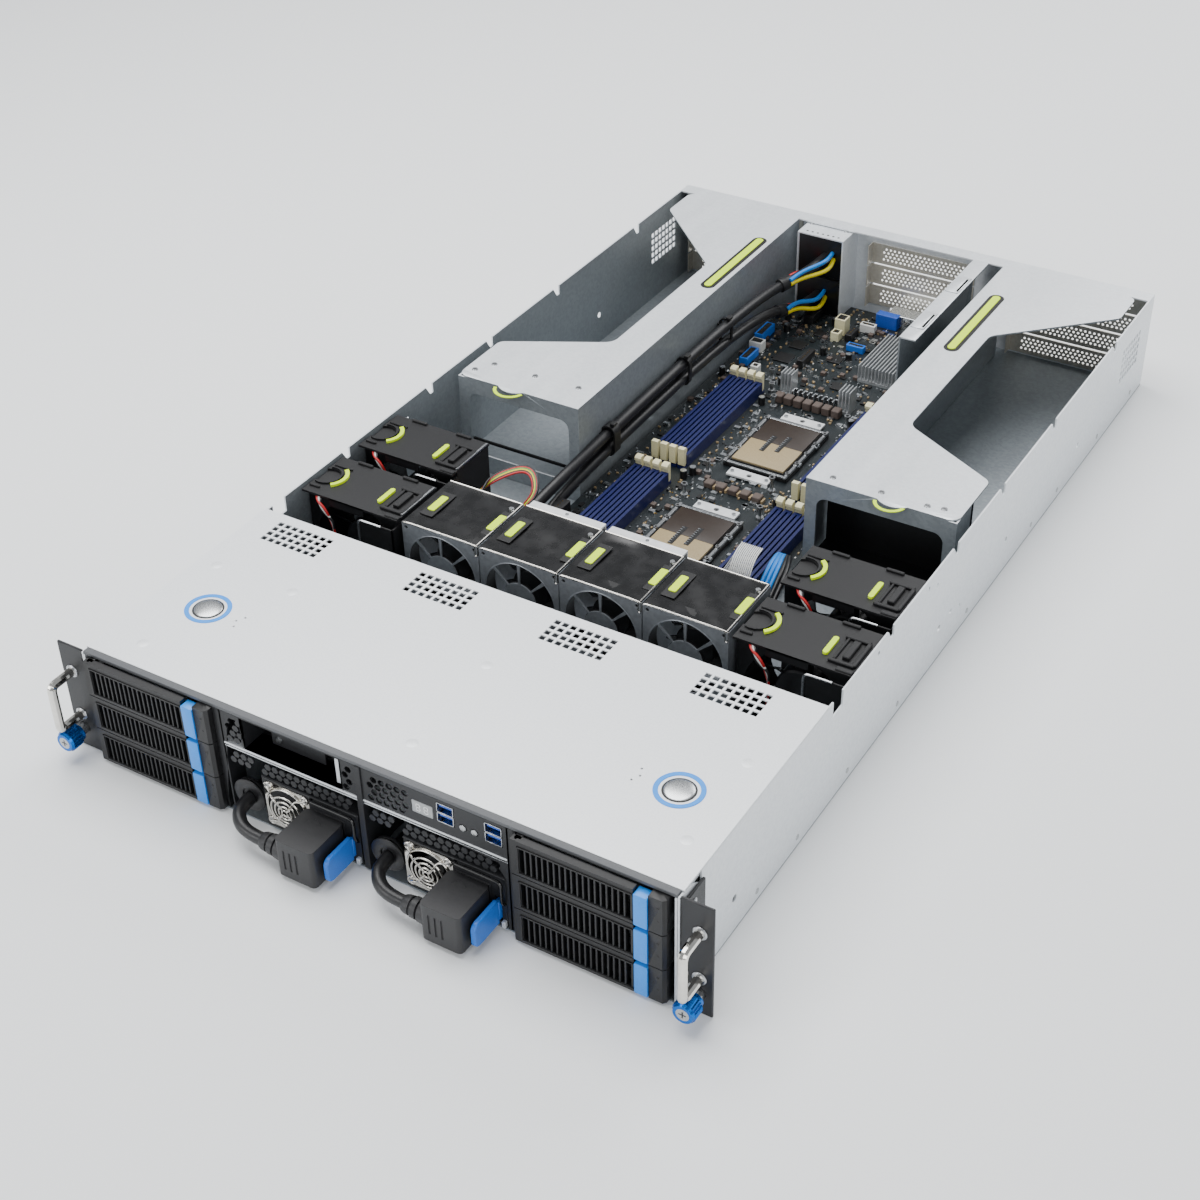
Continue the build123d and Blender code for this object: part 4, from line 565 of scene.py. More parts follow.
class SetStage(bpy.types.Operator):
    """Lay the plain floor, hang the soft lights and set the camera at the photographed view"""

    bl_idname = "rackserver.set_stage"
    bl_label = "Stage"

    def execute(self, context):
        stage = context.scene.server_stage
        bm = bmesh.new()
        bmesh.ops.create_grid(bm, x_segments=1, y_segments=1, size=6.0)
        mesh = bpy.data.meshes.new("floor")
        bm.to_mesh(mesh)
        bm.free()
        floor = add_object("floor", mesh)
        # Matt seamless paper: even and pale, with no visible grain
        paper = new_finish("seamless_paper", Base_Color=stage.floor_colour[:], Roughness=0.85)
        mesh.materials.append(paper)
        for name, place, aim, width, power in (
                ("key_light", (-0.5, 0.1, 1.9), (0.0, 0.1, 0.0), 1.8, stage.key_power),
                ("fill_light", (1.5, -1.5, 0.9), (0.0, 0.0, 0.0), 1.2, stage.fill_power),
                ("front_light", (-1.2, -1.9, 0.8), (0.0, -0.3, 0.0), 1.0, stage.fill_power),
                ("rim_light", (0.4, 2.0, 1.3), (0.0, 0.2, 0.0), 1.4, stage.rim_power)):
            light = bpy.data.lights.new(name, "AREA")
            light.shape = "SQUARE"
            light.size = width
            light.energy = power
            lamp = add_object(name, light)
            lamp.location = place
            lamp.rotation_euler = (Vector(place) - Vector(aim)).to_track_quat("Z", "Y").to_euler()
        world = bpy.data.worlds.new("studio")
        world.use_nodes = True
        world.node_tree.nodes["Background"].inputs["Color"].default_value = linear("#e9edf2")
        world.node_tree.nodes["Background"].inputs["Strength"].default_value = stage.world_strength
        context.scene.world = world
        camera = bpy.data.cameras.new("camera")
        camera.lens = stage.lens / MM
        camera.sensor_width = 36.0
        view = add_object("camera", camera)
        view.location = at(590.8, -670.1, 857.4)
        # The fitted view: where the lens looks, with a roll of a little over a degree
        aim = at(10.55, 260.45, 43.5) - view.location
        level = aim.to_track_quat("-Z", "Y")
        view.rotation_mode = "QUATERNION"
        view.rotation_quaternion = level @ Matrix.Rotation(radians(-1.3724), 3, "Z").to_quaternion()
        context.scene.camera = view
        return {"FINISHED"}


LEAD_DIAMETER = 9.0
LEADS = {
    "left": (836.1, ((-64.0, 768.8, 64.0), (-64.0, 735.0, 64.0), (-92.5, 680.0, 54.0), (-93.4, 372.0, 47.0),
                     (-117.0, 306.0, 6.3), (-118.0, 216.0, 6.3), (-91.15, 160.0, 18.5),
                     (-91.15, -9.0, 21.0), (-85.05, -20.0, 19.0), (-74.05, -25.0, 16.5),
                     (-61.65, -25.0, 16.5))),
    "right": (897.2, ((-70.0, 768.8, 26.0), (-70.0, 738.0, 26.0), (-91.5, 685.0, 40.0), (-92.6, 400.0, 35.5),
                      (-104.0, 345.0, 7.5), (-107.0, 262.0, 6.3), (-88.0, 214.0, 6.4), (-32.0, 203.0, 6.6),
                      (-2.0, 198.0, 8.0), (12.0, 172.0, 11.0), (16.65, 116.0, 18.5), (16.65, -9.0, 21.0),
                      (22.75, -20.0, 19.0), (33.75, -25.0, 16.5), (46.15, -25.0, 16.5))),
}


def mesh_of(curve_object, name):
    """The mesh that a curve object gives, and the object taken away."""
    bpy.context.view_layer.update()
    mesh = bpy.data.meshes.new_from_object(curve_object)
    mesh.name = name
    bpy.data.objects.remove(curve_object)
    return mesh


def spline_points(points):
    """The points of the smooth spline that the control points give, in metres."""
    return [v.co.copy() for v in mesh_of(bent_bar("route", points, 0.0), "route").vertices]


class DressLeads(bpy.types.Operator):
    """Run the two mains leads from the rear inlets to the plugs at the front"""

    bl_idname = "rackserver.dress_leads"
    bl_label = "Mains leads"

    def execute(self, context):
        for side, sign in SIDES:
            length, route = LEADS[side]
            points = [at(*point) for point in route]
            mesh = mesh_of(bent_bar("tube", points, LEAD_DIAMETER / 2), f"{side}_mains_lead")
            mesh.materials.append(FINISHES["rubber"])
            mesh.shade_smooth()
            lead = add_object(f"{side}_mains_lead", mesh)
            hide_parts(f"{side}_lead")
            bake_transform(lead)
            spline_points(points)
        self.cores()
        self.ties()
        return {"FINISHED"}

    def cores(self):
        """Three coloured cores bow from each lead's cut jacket into its inlet."""
        cores = (("blue_wire", 4.6, 5.6, 9.0, 7.0), ("yellow_wire", 5.4, 0.4, 11.0, -1.0),
                 ("red_wire", -4.6, 1.2, -7.0, -4.0))
        for side, start, end in (("left", (-73.5, 718.0, 60.8), (-64.0, 768.0, 64.0)),
                                 ("right", (-77.2, 721.5, 30.5), (-70.0, 768.0, 26.0))):
            for finish, start_x, start_z, bow_x, bow_z in cores:
                small_cord(f"{side}_inlet_core_{finish}",
                           ((start[0] + start_x * 0.6, start[1] - 4.0, start[2] + start_z * 0.6),
                            (start[0] + start_x, start[1] + 8.0, start[2] + start_z),
                            (end[0] + bow_x, end[1] - 24.0, end[2] + bow_z),
                            (end[0] + bow_x, end[1] - 9.0, end[2] + bow_z * 0.9),
                            (end[0] + bow_x * 0.7, end[1] + 1.0, end[2] + bow_z * 0.7)), 1.9, finish)

    def ties(self):
        """Nylon ties and clamps hold the two leads beside the riser cage, and a collar ends each jacket."""
        piece = Piece("black_nylon")
        for depth, x, low, high, half, length in ((564.0, -92.1, 38.2, 51.6, 6.4, 4.0),
                                                  (449.0, -93.6, 34.2, 47.8, 6.6, 9.0),
                                                  (636.0, -91.8, 39.8, 53.0, 6.2, 3.0)):
            outer = [(x + half * cos(t), (high if sin(t) >= 0 else low) + half * sin(t))
                     for t in [k * pi / 12 for k in range(24)]]
            inner = [(x + (half - 1.5) * cos(t), (high if sin(t) >= 0 else low) + (half - 1.5) * sin(t))
                     for t in [k * pi / 12 for k in range(24)]]
            piece.sheet(facing_front(depth - length / 2), outer, [inner], length)
            piece.blocks(((x - half - 0.6, x - half + 1.4), about(depth, length), (low - 1.0, high + 1.0),
                          None, 0.4),
                         ((x + 1.0, x + 5.0), about(depth, 3.0), (high + half - 0.6, high + half + 2.4),
                          None, 0.5))
        for start, ahead in (((-75.6, 714.2, 60.2), (2.0, 5.0, 0.5)),
                             ((-79.2, 717.4, 31.2), (2.0, 5.0, -0.7))):
            place = at(*start)
            piece.rod(place - Vector(ahead) * 1.2 * MM, place + Vector(ahead) * 1.2 * MM, 6.0, 5.4, sides=28,
                      bevel=0.5)
        piece.finish("lead_ties", slot="black_plastic")


WALL_TOP = 85.6
SHEET = 1.2
CASE_LENGTH = 800.0
HOOK_DEPTHS = (274.0, 381.0, 465.0, 566.0, 699.0)


def wall_outline():
    """The side wall's outline: hook notches, the latch cut and the front hook in its top edge."""
    top, bottom = WALL_TOP, SHEET
    outline = [(0.0, bottom), (CASE_LENGTH, bottom), (CASE_LENGTH, top)]
    for depth in reversed(HOOK_DEPTHS):
        outline += [(depth + 9, top), (depth + 9, top - 8), (depth + 5, top - 8), (depth, top)]
    outline += [(207.0, top), (207.0, top - 12), (193.0, top - 12), (193.0, top)]
    outline += [(25.0, top), (25.0, top - 9), (12.0, top), (0.0, top)]
    return outline


class DressCase(bpy.types.Operator):
    """Give the case its steel sheets: walls with their true vents, floor, rear panel and drive cages"""

    bl_idname = "rackserver.dress_case"
    bl_label = "Case sheets"

    def execute(self, context):
        give("zinc", "rear_panel")
        # The floor pan and the drive cages take the darker copy of the sheet: painted shade
        give("shaded_zinc", "floor_pan", "drive_cages")
        hole = square(sizes().vent_hole / MM)
        pitch = sizes().vent_pitch / MM
        low_x = node_range("left_wall", 0)[0]
        high_x = node_range("right_wall", 0)[1]
        holes = [(depth, 28.0, 2.6, 20, 0) for depth in (66.0, 366.0, 489.0, 638.0)]
        holes += grid(733.0, 38.0, pitch, pitch, 7, 5, hole, 4, 45)
        holes += [(260.0, 78.5, 1.6, 12, 0), (340.0, 78.5, 1.6, 12, 0), (355.0, 72.0, 1.5, 12, 0),
                  (386.0, 29.5, 2.2, 16, 0), (403.0, 24.0, 1.5, 12, 0), (19.0, 66.0, 1.5, 12, 0)]
        for side, outer, sign in (("left", low_x + SHEET, -1), ("right", high_x, 1)):
            piece = Piece("zinc")
            wall = piece.sheet(facing_right(outer), wall_outline(), holes, SHEET)
            # The wall's inward faces take the darker copy of the sheet: painted shade
            inner = {f for v in wall for f in v.link_faces if f.normal.x * sign < -0.9}
            piece.colour(inner, "shaded_zinc")
            # Flush rivets that hold the cages and the floor's flange
            face = high_x * sign
            for depth in (30.0, 96.0, 150.0, 222.0, 300.0, 420.0, 545.0, 600.0, 690.0, 770.0):
                piece.rod(at(face - sign * 0.3, depth, 8.0), at(face + sign * 0.25, depth, 8.0), 2.4, 2.0,
                          sides=16, finish="steel")
            piece.finish(f"{side}_case_wall", replaces=[f"{side}_wall"], slot="steel_sheet")
        return {"FINISHED"}


COVER_VENTS = (-197.6, -76.9, 30.1, 140.9)
COVER_VENT_DEPTH = 158.0
BUTTON_X = 177.5
BUTTON_DEPTH = 75.0
# Spot welds and a slit that show faintly in the cover, by X and depth
COVER_MARKS = ((15.2, 116.6), (201.6, 40.6), (200.9, 115.8), (17.9, 31.5), (-204.8, 116.3), (-190.1, 25.5),
               (-141.0, 117.1))


class DressCover(bpy.types.Operator):
    """Make the front cover with its four vents, blue rings and domed push buttons"""

    bl_idname = "rackserver.dress_cover"
    bl_label = "Front cover"

    def execute(self, context):
        low_x, high_x = node_range("front_cover", 0)
        front, rear = node_range("front_cover", 1)
        hole = square(sizes().cover_hole / MM)
        holes = [(sign * BUTTON_X, BUTTON_DEPTH, 10.6, 64, 0) for _, sign in SIDES]
        for left in COVER_VENTS:
            holes += grid(left, COVER_VENT_DEPTH, 6.05, 6.2, sizes().cover_columns, sizes().cover_rows,
                          hole, 4, 45)
        for x, depth in ((149.0, 80.5), (151.3, 74.5), (148.6, 69.0), (-149.8, 79.5), (-153.0, 74.0),
                         (-150.6, 68.5)):
            holes.append((x, depth, 0.8, 8, 0))
        piece = Piece("cover")
        piece.sheet(facing_up(87.0), rectangle(low_x, high_x, front, rear), holes, SHEET)
        for sign in (-1, 1):
            hem = sorted((sign * 218.15, sign * 216.95))
            piece.block(hem, (12.0, rear), (80.8, 85.8))
        for x, depth in COVER_MARKS:
            piece.upright(x, depth, (86.9, 87.12), 4.4, 3.6, sides=28)
        piece.block((109.0, 117.0), (129.6, 130.6), (86.9, 87.15))
        for _, sign in SIDES:
            spot = [(sign * BUTTON_X, BUTTON_DEPTH, 12.6, 64, 0)]
            ring = [(sign * BUTTON_X + 15.8 * cos(pi * step / 36), BUTTON_DEPTH + 15.8 * sin(pi * step / 36))
                    for step in range(72)]
            piece.sheet(facing_up(87.4), ring, spot, 0.5, "bright_blue_abs")
        piece.finish("ventilated_front_cover", "front_cover", ["front_cover"], "painted_cover", bevel=0.25)
        for side, sign in SIDES:
            cap = Piece("turned")
            x = sign * BUTTON_X
            # A dome turned from an arc, standing out of a dark groove
            cap.upright(x, BUTTON_DEPTH, (84.7, 87.15), 10.3, sides=64, finish="black_nylon")
            rise, rim = 1.3, 9.6
            steps = [(rim * cos(pi / 2 * k / 8), 87.0 + rise * sin(pi / 2 * k / 8)) for k in range(9)]
            cap.lathe([(rim, 86.4)] + steps, at(x, BUTTON_DEPTH, 0), Vector((0, 0, 1)), 64)
            cap.finish(f"{side}_domed_button", f"{side}_cover_button", [f"{side}_cover_button"],
                       "painted_cover")
        return {"FINISHED"}


class DressEars(bpy.types.Operator):
    """Make the black rack ears, their chrome handles and the blue captive thumbscrews"""

    bl_idname = "rackserver.dress_ears"
    bl_label = "Rack ears"

    def execute(self, context):
        screw_x, screw_z = 232.55, 17.5
        for side, sign in SIDES:
            inner, outer = sign * 219.95, sign * 241.3
            piece = Piece("black_coat")
            corners = rectangle(min(inner, outer), max(inner, outer), 0.6, 86.6)
            piece.sheet(facing_front(0.0), corners, [(sign * screw_x, screw_z, 4.1, 28, 0)], 2.0)
            flange = sorted((inner, inner + sign * 2.0))
            piece.block(flange, (0.0, 26.0), (6.0, 80.6))
            for height in (29.0, 65.0):
                piece.level(sign * screw_x, (0.2, -1.0), height, 5.0, 4.4, sides=28, finish="steel")
            for height in (14.0, 73.0):
                piece.rod(at(inner + sign * 1.8, 13.0, height), at(inner + sign * 2.7, 13.0, height), 2.6,
                          2.2, finish="steel")
            piece.finish(f"{side}_ear_plate", bevel=0.5, slot="black_panel",
                         replaces=["rack_ears"] if side == "left" else ())
            bar = [at(sign * screw_x, *place) for place in
                   ((1.0, 29.0), (-12.0, 29.0), (-19.6, 29.0), (-19.6, 38.0), (-19.6, 56.0), (-19.6, 65.0),
                    (-12.0, 65.0), (1.0, 65.0))]
            handle = Piece("chrome")
            handle.tube(bar, 3.2)
            handle.finish(f"{side}_pull_handle")

            screw = Piece("anodised")
            x = sign * screw_x
            flutes = 48
            head = [(x + (7.7 - 0.5 * (k % 2)) * cos(2 * pi * k / flutes), screw_z
                     + (7.7 - 0.5 * (k % 2)) * sin(2 * pi * k / flutes)) for k in range(flutes)]
            screw.sheet(facing_front(-17.6), head, [], 8.2)
            screw.level(x, (-17.5, -19.4), screw_z, 7.3, 6.4, sides=48)
            screw.level(x, (-9.6, -6.0), screw_z, 6.6, 6.2, sides=40)
            screw.level(x, (-19.3, -19.5), screw_z, 4.3, sides=36, finish="steel")
            screw.level(x, (-6.1, 2.2), screw_z, 4.0, sides=28, finish="steel")
            screw.level(x, (2.2, 11.2), screw_z, 2.4, 2.2, finish="steel")
            # Cross recess: two dark bars sunk in the face
            screw.blocks((about(x, 2.4), (-19.55, -19.3), (17.05, 17.95), "black_nylon"),
                         (about(x, 0.45), (-19.56, -19.3), (15.1, 19.9), "black_nylon"))
            screw.finish(f"{side}_captive_thumbscrew", f"{side}_thumbscrew", [f"{side}_thumbscrew"],
                         "blue_knurled")
        return {"FINISHED"}


TRAY_WIDTH = 102.0
TRAY_PITCH = 27.5
TRAY_FLOOR = 2.2
TRAY_HEIGHT = 26.9
TRAY_LEFTS = (-214.0, 112.0)


class DressTrays(bpy.types.Operator):
    """Dress the six drive trays: grille levers with their slats, blue latches and lamp ends"""

    bl_idname = "rackserver.dress_trays"
    bl_label = "Drive trays"

    def execute(self, context):
        slats = sizes().lever_slats
        number = 0
        for left in TRAY_LEFTS:
            for row in range(3):
                number += 1
                low = TRAY_FLOOR + row * TRAY_PITCH
                high = low + TRAY_HEIGHT
                lamp_left = left + TRAY_WIDTH - 11.0
                self.tray(number, lamp_left, low, high)
                right = lamp_left - 9.7
                lever = Piece("black_abs")
                opening = rectangle(left + 6.2, right - 1.6, low + 3.2, high - 4.6)
                lever.sheet(facing_front(-6.0), rectangle(left, right, low, high), [], 5.0)
                self.cut(lever, opening)
                # A raised lip round the grille and the upright slats behind it
                for across, heights in (((left + 4.6, right), (high - 4.6, high - 3.6)),
                                        ((left + 4.6, right), (low + 2.0, low + 3.0)),
                                        ((left + 4.6, left + 5.8), (low + 2.0, high - 3.6))):
                    lever.block(across, (-6.8, -5.6), heights, bevel=0.25)
                pitch = (right - 1.6 - left - 6.2) / (slats + 1)
                for index in range(slats):
                    middle = left + 6.2 + (index + 1) * pitch
                    lever.block(about(middle, 0.65), (-6.1, -2.2), (low + 2.6, high - 4.0), bevel=0.2)
                lever.finish(f"grille_lever_{number}", f"tray_lever_{number}", [f"tray_lever_{number}"],
                             "black_plastic", bevel=0.35)
                latch = Piece("bright_blue_abs")
                latch.blocks(((right + 0.3, right + 9.4), (-6.8, 1.2), (low + 0.2, high - 2.4), None, 0.7, 2),
                             ((right + 7.2, right + 9.38), (-6.6, 1.0), (low + 0.9, high - 3.2), "blue_abs"),
                             ((right + 2.5, right + 7.5), (1.1, 2.8), (low + 7.2, high - 7.2)))
                latch.finish(f"push_latch_{number}", f"tray_latch_{number}", [f"tray_latch_{number}"],
                             "blue_plastic")
        return {"FINISHED"}

    def tray(self, number, lamp_left, low, high):
        """The tray itself: black end with two lamps in front of a steel carrier."""
        front_limit = FRONT_Y + 6.1 * MM
        # The steel carrier takes the darker copy of the sheet, which is painted shade; its front end is black
        # ABS
        piece = Piece("shaded_zinc")
        piece.copy_node(f"drive_tray_{number}",
                        choose=lambda centre, normal: "black_abs" if centre.y < front_limit else "shaded_zinc")
        for height in (high - 7.5, low + 9.5):
            piece.level(lamp_left + 6.0, (-5.9, -6.15), height, 0.9, sides=12, finish="chip")
        piece.finish(f"carrier_{number}", f"drive_tray_{number}", [f"drive_tray_{number}"], "steel_sheet",
                     bevel=0.3)

    def cut(self, lever, opening):
        """Open the grille: the front and rear faces are inset to the opening and bridged."""
        bm = lever.bm
        (left, low), _, (right, high), _ = opening
        planes = ((Vector((left * MM, 0, 0)), Vector((1, 0, 0))),
                  (Vector((right * MM, 0, 0)), Vector((1, 0, 0))),
                  (Vector((0, 0, low * MM)), Vector((0, 0, 1))),
                  (Vector((0, 0, high * MM)), Vector((0, 0, 1))))
        for place, normal in planes:
            everything = list(bm.verts) + list(bm.edges) + list(bm.faces)
            bmesh.ops.bisect_plane(bm, geom=everything, dist=1e-7, plane_co=place, plane_no=normal)
        middles = [f for f in bm.faces if abs(f.normal.y) > 0.9
                   and left * MM < f.calc_center_median().x < right * MM
                   and low * MM < f.calc_center_median().z < high * MM]
        rims = [e for e in bm.edges if sum(f in middles for f in e.link_faces) == 1]
        bmesh.ops.delete(bm, geom=middles, context="FACES")
        bmesh.ops.bridge_loops(bm, edges=[e for e in rims if e.is_valid])
        bmesh.ops.recalc_face_normals(bm, faces=bm.faces)


BAY_LEFTS = (-105.65, 2.15)
BAY_WIDTH = 103.5
# Where the double ports and the two round buttons begin in a bay, from its left edge
PORT_STARTS = (54.7, 88.4)
BUTTON_STARTS = (73.0, 81.2)
PANEL_LOW = 1.4
PANEL_TOP = 84.6
LEDGE = 58.4


def hexagons(left, low, columns, rows):
    """Hexagon holes in staggered rows, the first one centred at left and low."""
    pitch = sizes().hex_pitch / MM
    return [(left + pitch / 2 * (row % 2) + column * pitch, low + row * pitch * sin(pi / 3),
             sizes().hex_across / MM / 2, 6, 30) for row in range(rows) for column in range(columns)]


class DressPanel(bpy.types.Operator):
    """Make the front panel with its hexagon fields, and its display, ports, buttons, glands and bracket"""

    bl_idname = "rackserver.dress_panel"
    bl_label = "Front panel"

    def execute(self, context):
        left_bay, right_bay = BAY_LEFTS
        edge = 111.8
        outline = [(-edge, PANEL_LOW)]
        holes = [rectangle(left_bay + 16, left_bay + 91.4, 60.8, 84.0),
                 rectangle(right_bay + 36.5, right_bay + 52.0, 66.8, 76.6)]
        for bay in BAY_LEFTS:
            outline += [(bay + 26.6, PANEL_LOW), (bay + 26.6, 42.8), (bay + 101.3, 42.8),
                        (bay + 101.3, PANEL_LOW)]
            holes.append((bay + 14.5, 21.0, 10.5, 40, 0))
            holes += hexagons(bay + 30.0, 46.6, 12, 2)
            holes += hexagons(bay + 5.2, 46.6, 3, 2)
        outline += [(edge, PANEL_LOW), (edge, PANEL_TOP), (-edge, PANEL_TOP)]
        holes += hexagons(left_bay + 5.0, 63.8, 2, 4) + hexagons(left_bay + 95.2, 63.8, 1, 4)
        holes += hexagons(right_bay + 6.2, 63.8, 5, 4)
        for start in PORT_STARTS:
            holes.append(rectangle(right_bay + start, right_bay + start + 12.4, 67.4, 82.6))
        for start in BUTTON_STARTS:
            holes.append((right_bay + start, 70.0, 2.7, 20, 0))
        piece = Piece("black_coat")
        piece.sheet(facing_front(0.0), outline, holes, SHEET)
        piece.blocks(((-218.3, 218.3), (0.0, 4.8), (84.6, 87.0), "grey_coat", 0.3),
                     ((-2.15, 2.15), (-1.2, 14.0), (PANEL_LOW, PANEL_TOP), None, 0.2))
        for side in (-1, 1):
            for start, rear in ((105.65, 14.0), (110.4, 7.4)):
                piece.block(sorted((side * start, side * (start + 1.2))), (0.0, rear), (PANEL_LOW, PANEL_TOP))
            piece.block(sorted((side * 216.9, side * 218.3)), (-0.4, 7.4), (PANEL_LOW, PANEL_TOP), "zinc")
        for bay in BAY_LEFTS:
            piece.blocks(((bay, bay + BAY_WIDTH), (-0.6, 18.0), (LEDGE, LEDGE + 1.2), "zinc", 0.15),
                         ((bay, bay + BAY_WIDTH), (0.0, 16.0), (LEDGE - 2.4, LEDGE - 1.7), "zinc"))
        card_left, card_right = left_bay + 14.8, left_bay + 92.6
        for start in (card_left, card_right - 1.2):
            piece.block((start, start + 1.2), (0.0, 24.0), (LEDGE, 84.0))
        piece.blocks(((card_left, card_right), (0.0, 24.0), (LEDGE, LEDGE + 1.2)),
                     ((card_left, card_right), (22.8, 24.0), (LEDGE, 84.0)))
        # The post and the plate with its screw in the card window
        piece.blocks(((card_right - 6.8, card_right - 3.6), (3.0, 5.0), (60.8, 80.0), "zinc", 0.2),
                     ((card_left + 14.0, card_right - 22.0), (12.0, 13.0), (60.8, 70.5), None, 0.2))
        piece.level(card_left + 20.0, (12.1, 11.0), 66.0, 2.4, 2.0, finish="steel")
        piece.finish("hexagon_front_panel", replaces=["front_panel"], slot="black_panel")
        self.fittings(right_bay, card_left, card_right)
        for name, start in zip(("power", "id"), BUTTON_STARTS):
            button = Piece("button")
            x = right_bay + start
            button.level(x, (-0.6, 3.6), 70.0, 2.3, sides=28, bevel=0.25)
            for turn in (0, 1, 2):
                spot = at(x + 1.1 * cos(pi / 2 + turn * 2 * pi / 3), -0.58,
                          70.0 + 1.1 * sin(pi / 2 + turn * 2 * pi / 3))
                button.rod(spot, spot + Vector((0, -0.06 * MM, 0)), 0.32, sides=8, finish="white")
            button.finish(f"{name}_push_button", f"{name}_button", [f"{name}_button"], "button_metal")
        return {"FINISHED"}

    def fittings(self, right_bay, card_left, card_right):
        """Display with two digits, double ports, rubber glands and the perforated bracket."""
        piece = Piece("display")
        left, right = right_bay + 36.8, right_bay + 51.7
        piece.block((left, right), (-0.3, 3.6), (67.1, 76.3), bevel=0.4, segments=2)
        for digit_left in (left + 3.0, left + 8.7):
            for low in (69.0, 71.5, 74.0):
                piece.block((digit_left + 0.4, digit_left + 2.8), (-0.42, -0.28), (low, low + 0.55),
                            "segment")
            for across in (digit_left, digit_left + 2.65):
                for low in (69.55, 72.1):
                    piece.block((across, across + 0.55), (-0.42, -0.28), (low, low + 1.9), "segment")
        for start in PORT_STARTS:
            port_left, port_right = right_bay + start + 0.3, right_bay + start + 12.1
            for low in (67.7, 75.15):
                high = low + 7.15
                piece.blocks(((port_left, port_right), (-0.4, 15.8), (low, low + 0.5), "tin"),
                             ((port_left, port_right), (-0.4, 15.8), (high - 0.5, high), "tin"),
                             ((port_left, port_left + 0.5), (-0.4, 15.8), (low, high), "tin"),
                             ((port_right - 0.5, port_right), (-0.4, 15.8), (low, high), "tin"),
                             ((port_left + 0.4, port_right - 0.4), (13.0, 15.8), (low + 0.4, high - 0.4),
                              "black_nylon"),
                             ((port_left + 1.2, port_right - 1.2), (0.8, 13.1), (high - 3.5, high - 1.4),
                              "blue_tongue", 0.2))
        for bay in BAY_LEFTS:
            x = bay + 14.5
            piece.lathe([(5.25, 1.0), (5.25, -1.0), (6.4, -1.7), (10.4, -1.6), (12.2, -0.9), (12.4, -0.2),
                         (10.1, -0.1), (10.1, 1.6), (11.6, 1.7), (11.6, 3.6), (5.25, 3.6), (5.25, 1.0)],
                        at(x, 0, 21.0), Vector((0, 1, 0)), 48, "rubber")
        row_low = 84.0 - 9.6
        holes = grid(card_left + 8.6, row_low + 2.6, 4.4, 4.2, 14, 2, 1.55, 12, stagger=2.2)
        piece.sheet(facing_front(21.4), rectangle(card_left + 3.0, card_right - 3.0, row_low, 83.9), holes,
                    1.2, "zinc")
        piece.finish("panel_display_and_ports", replaces=["panel_fittings"], slot="mixed_fittings",
                     bevel=0.15)


SUPPLY_FANS = (-60.05, 47.75)
SUPPLY_FAN_HEIGHT = 22.2


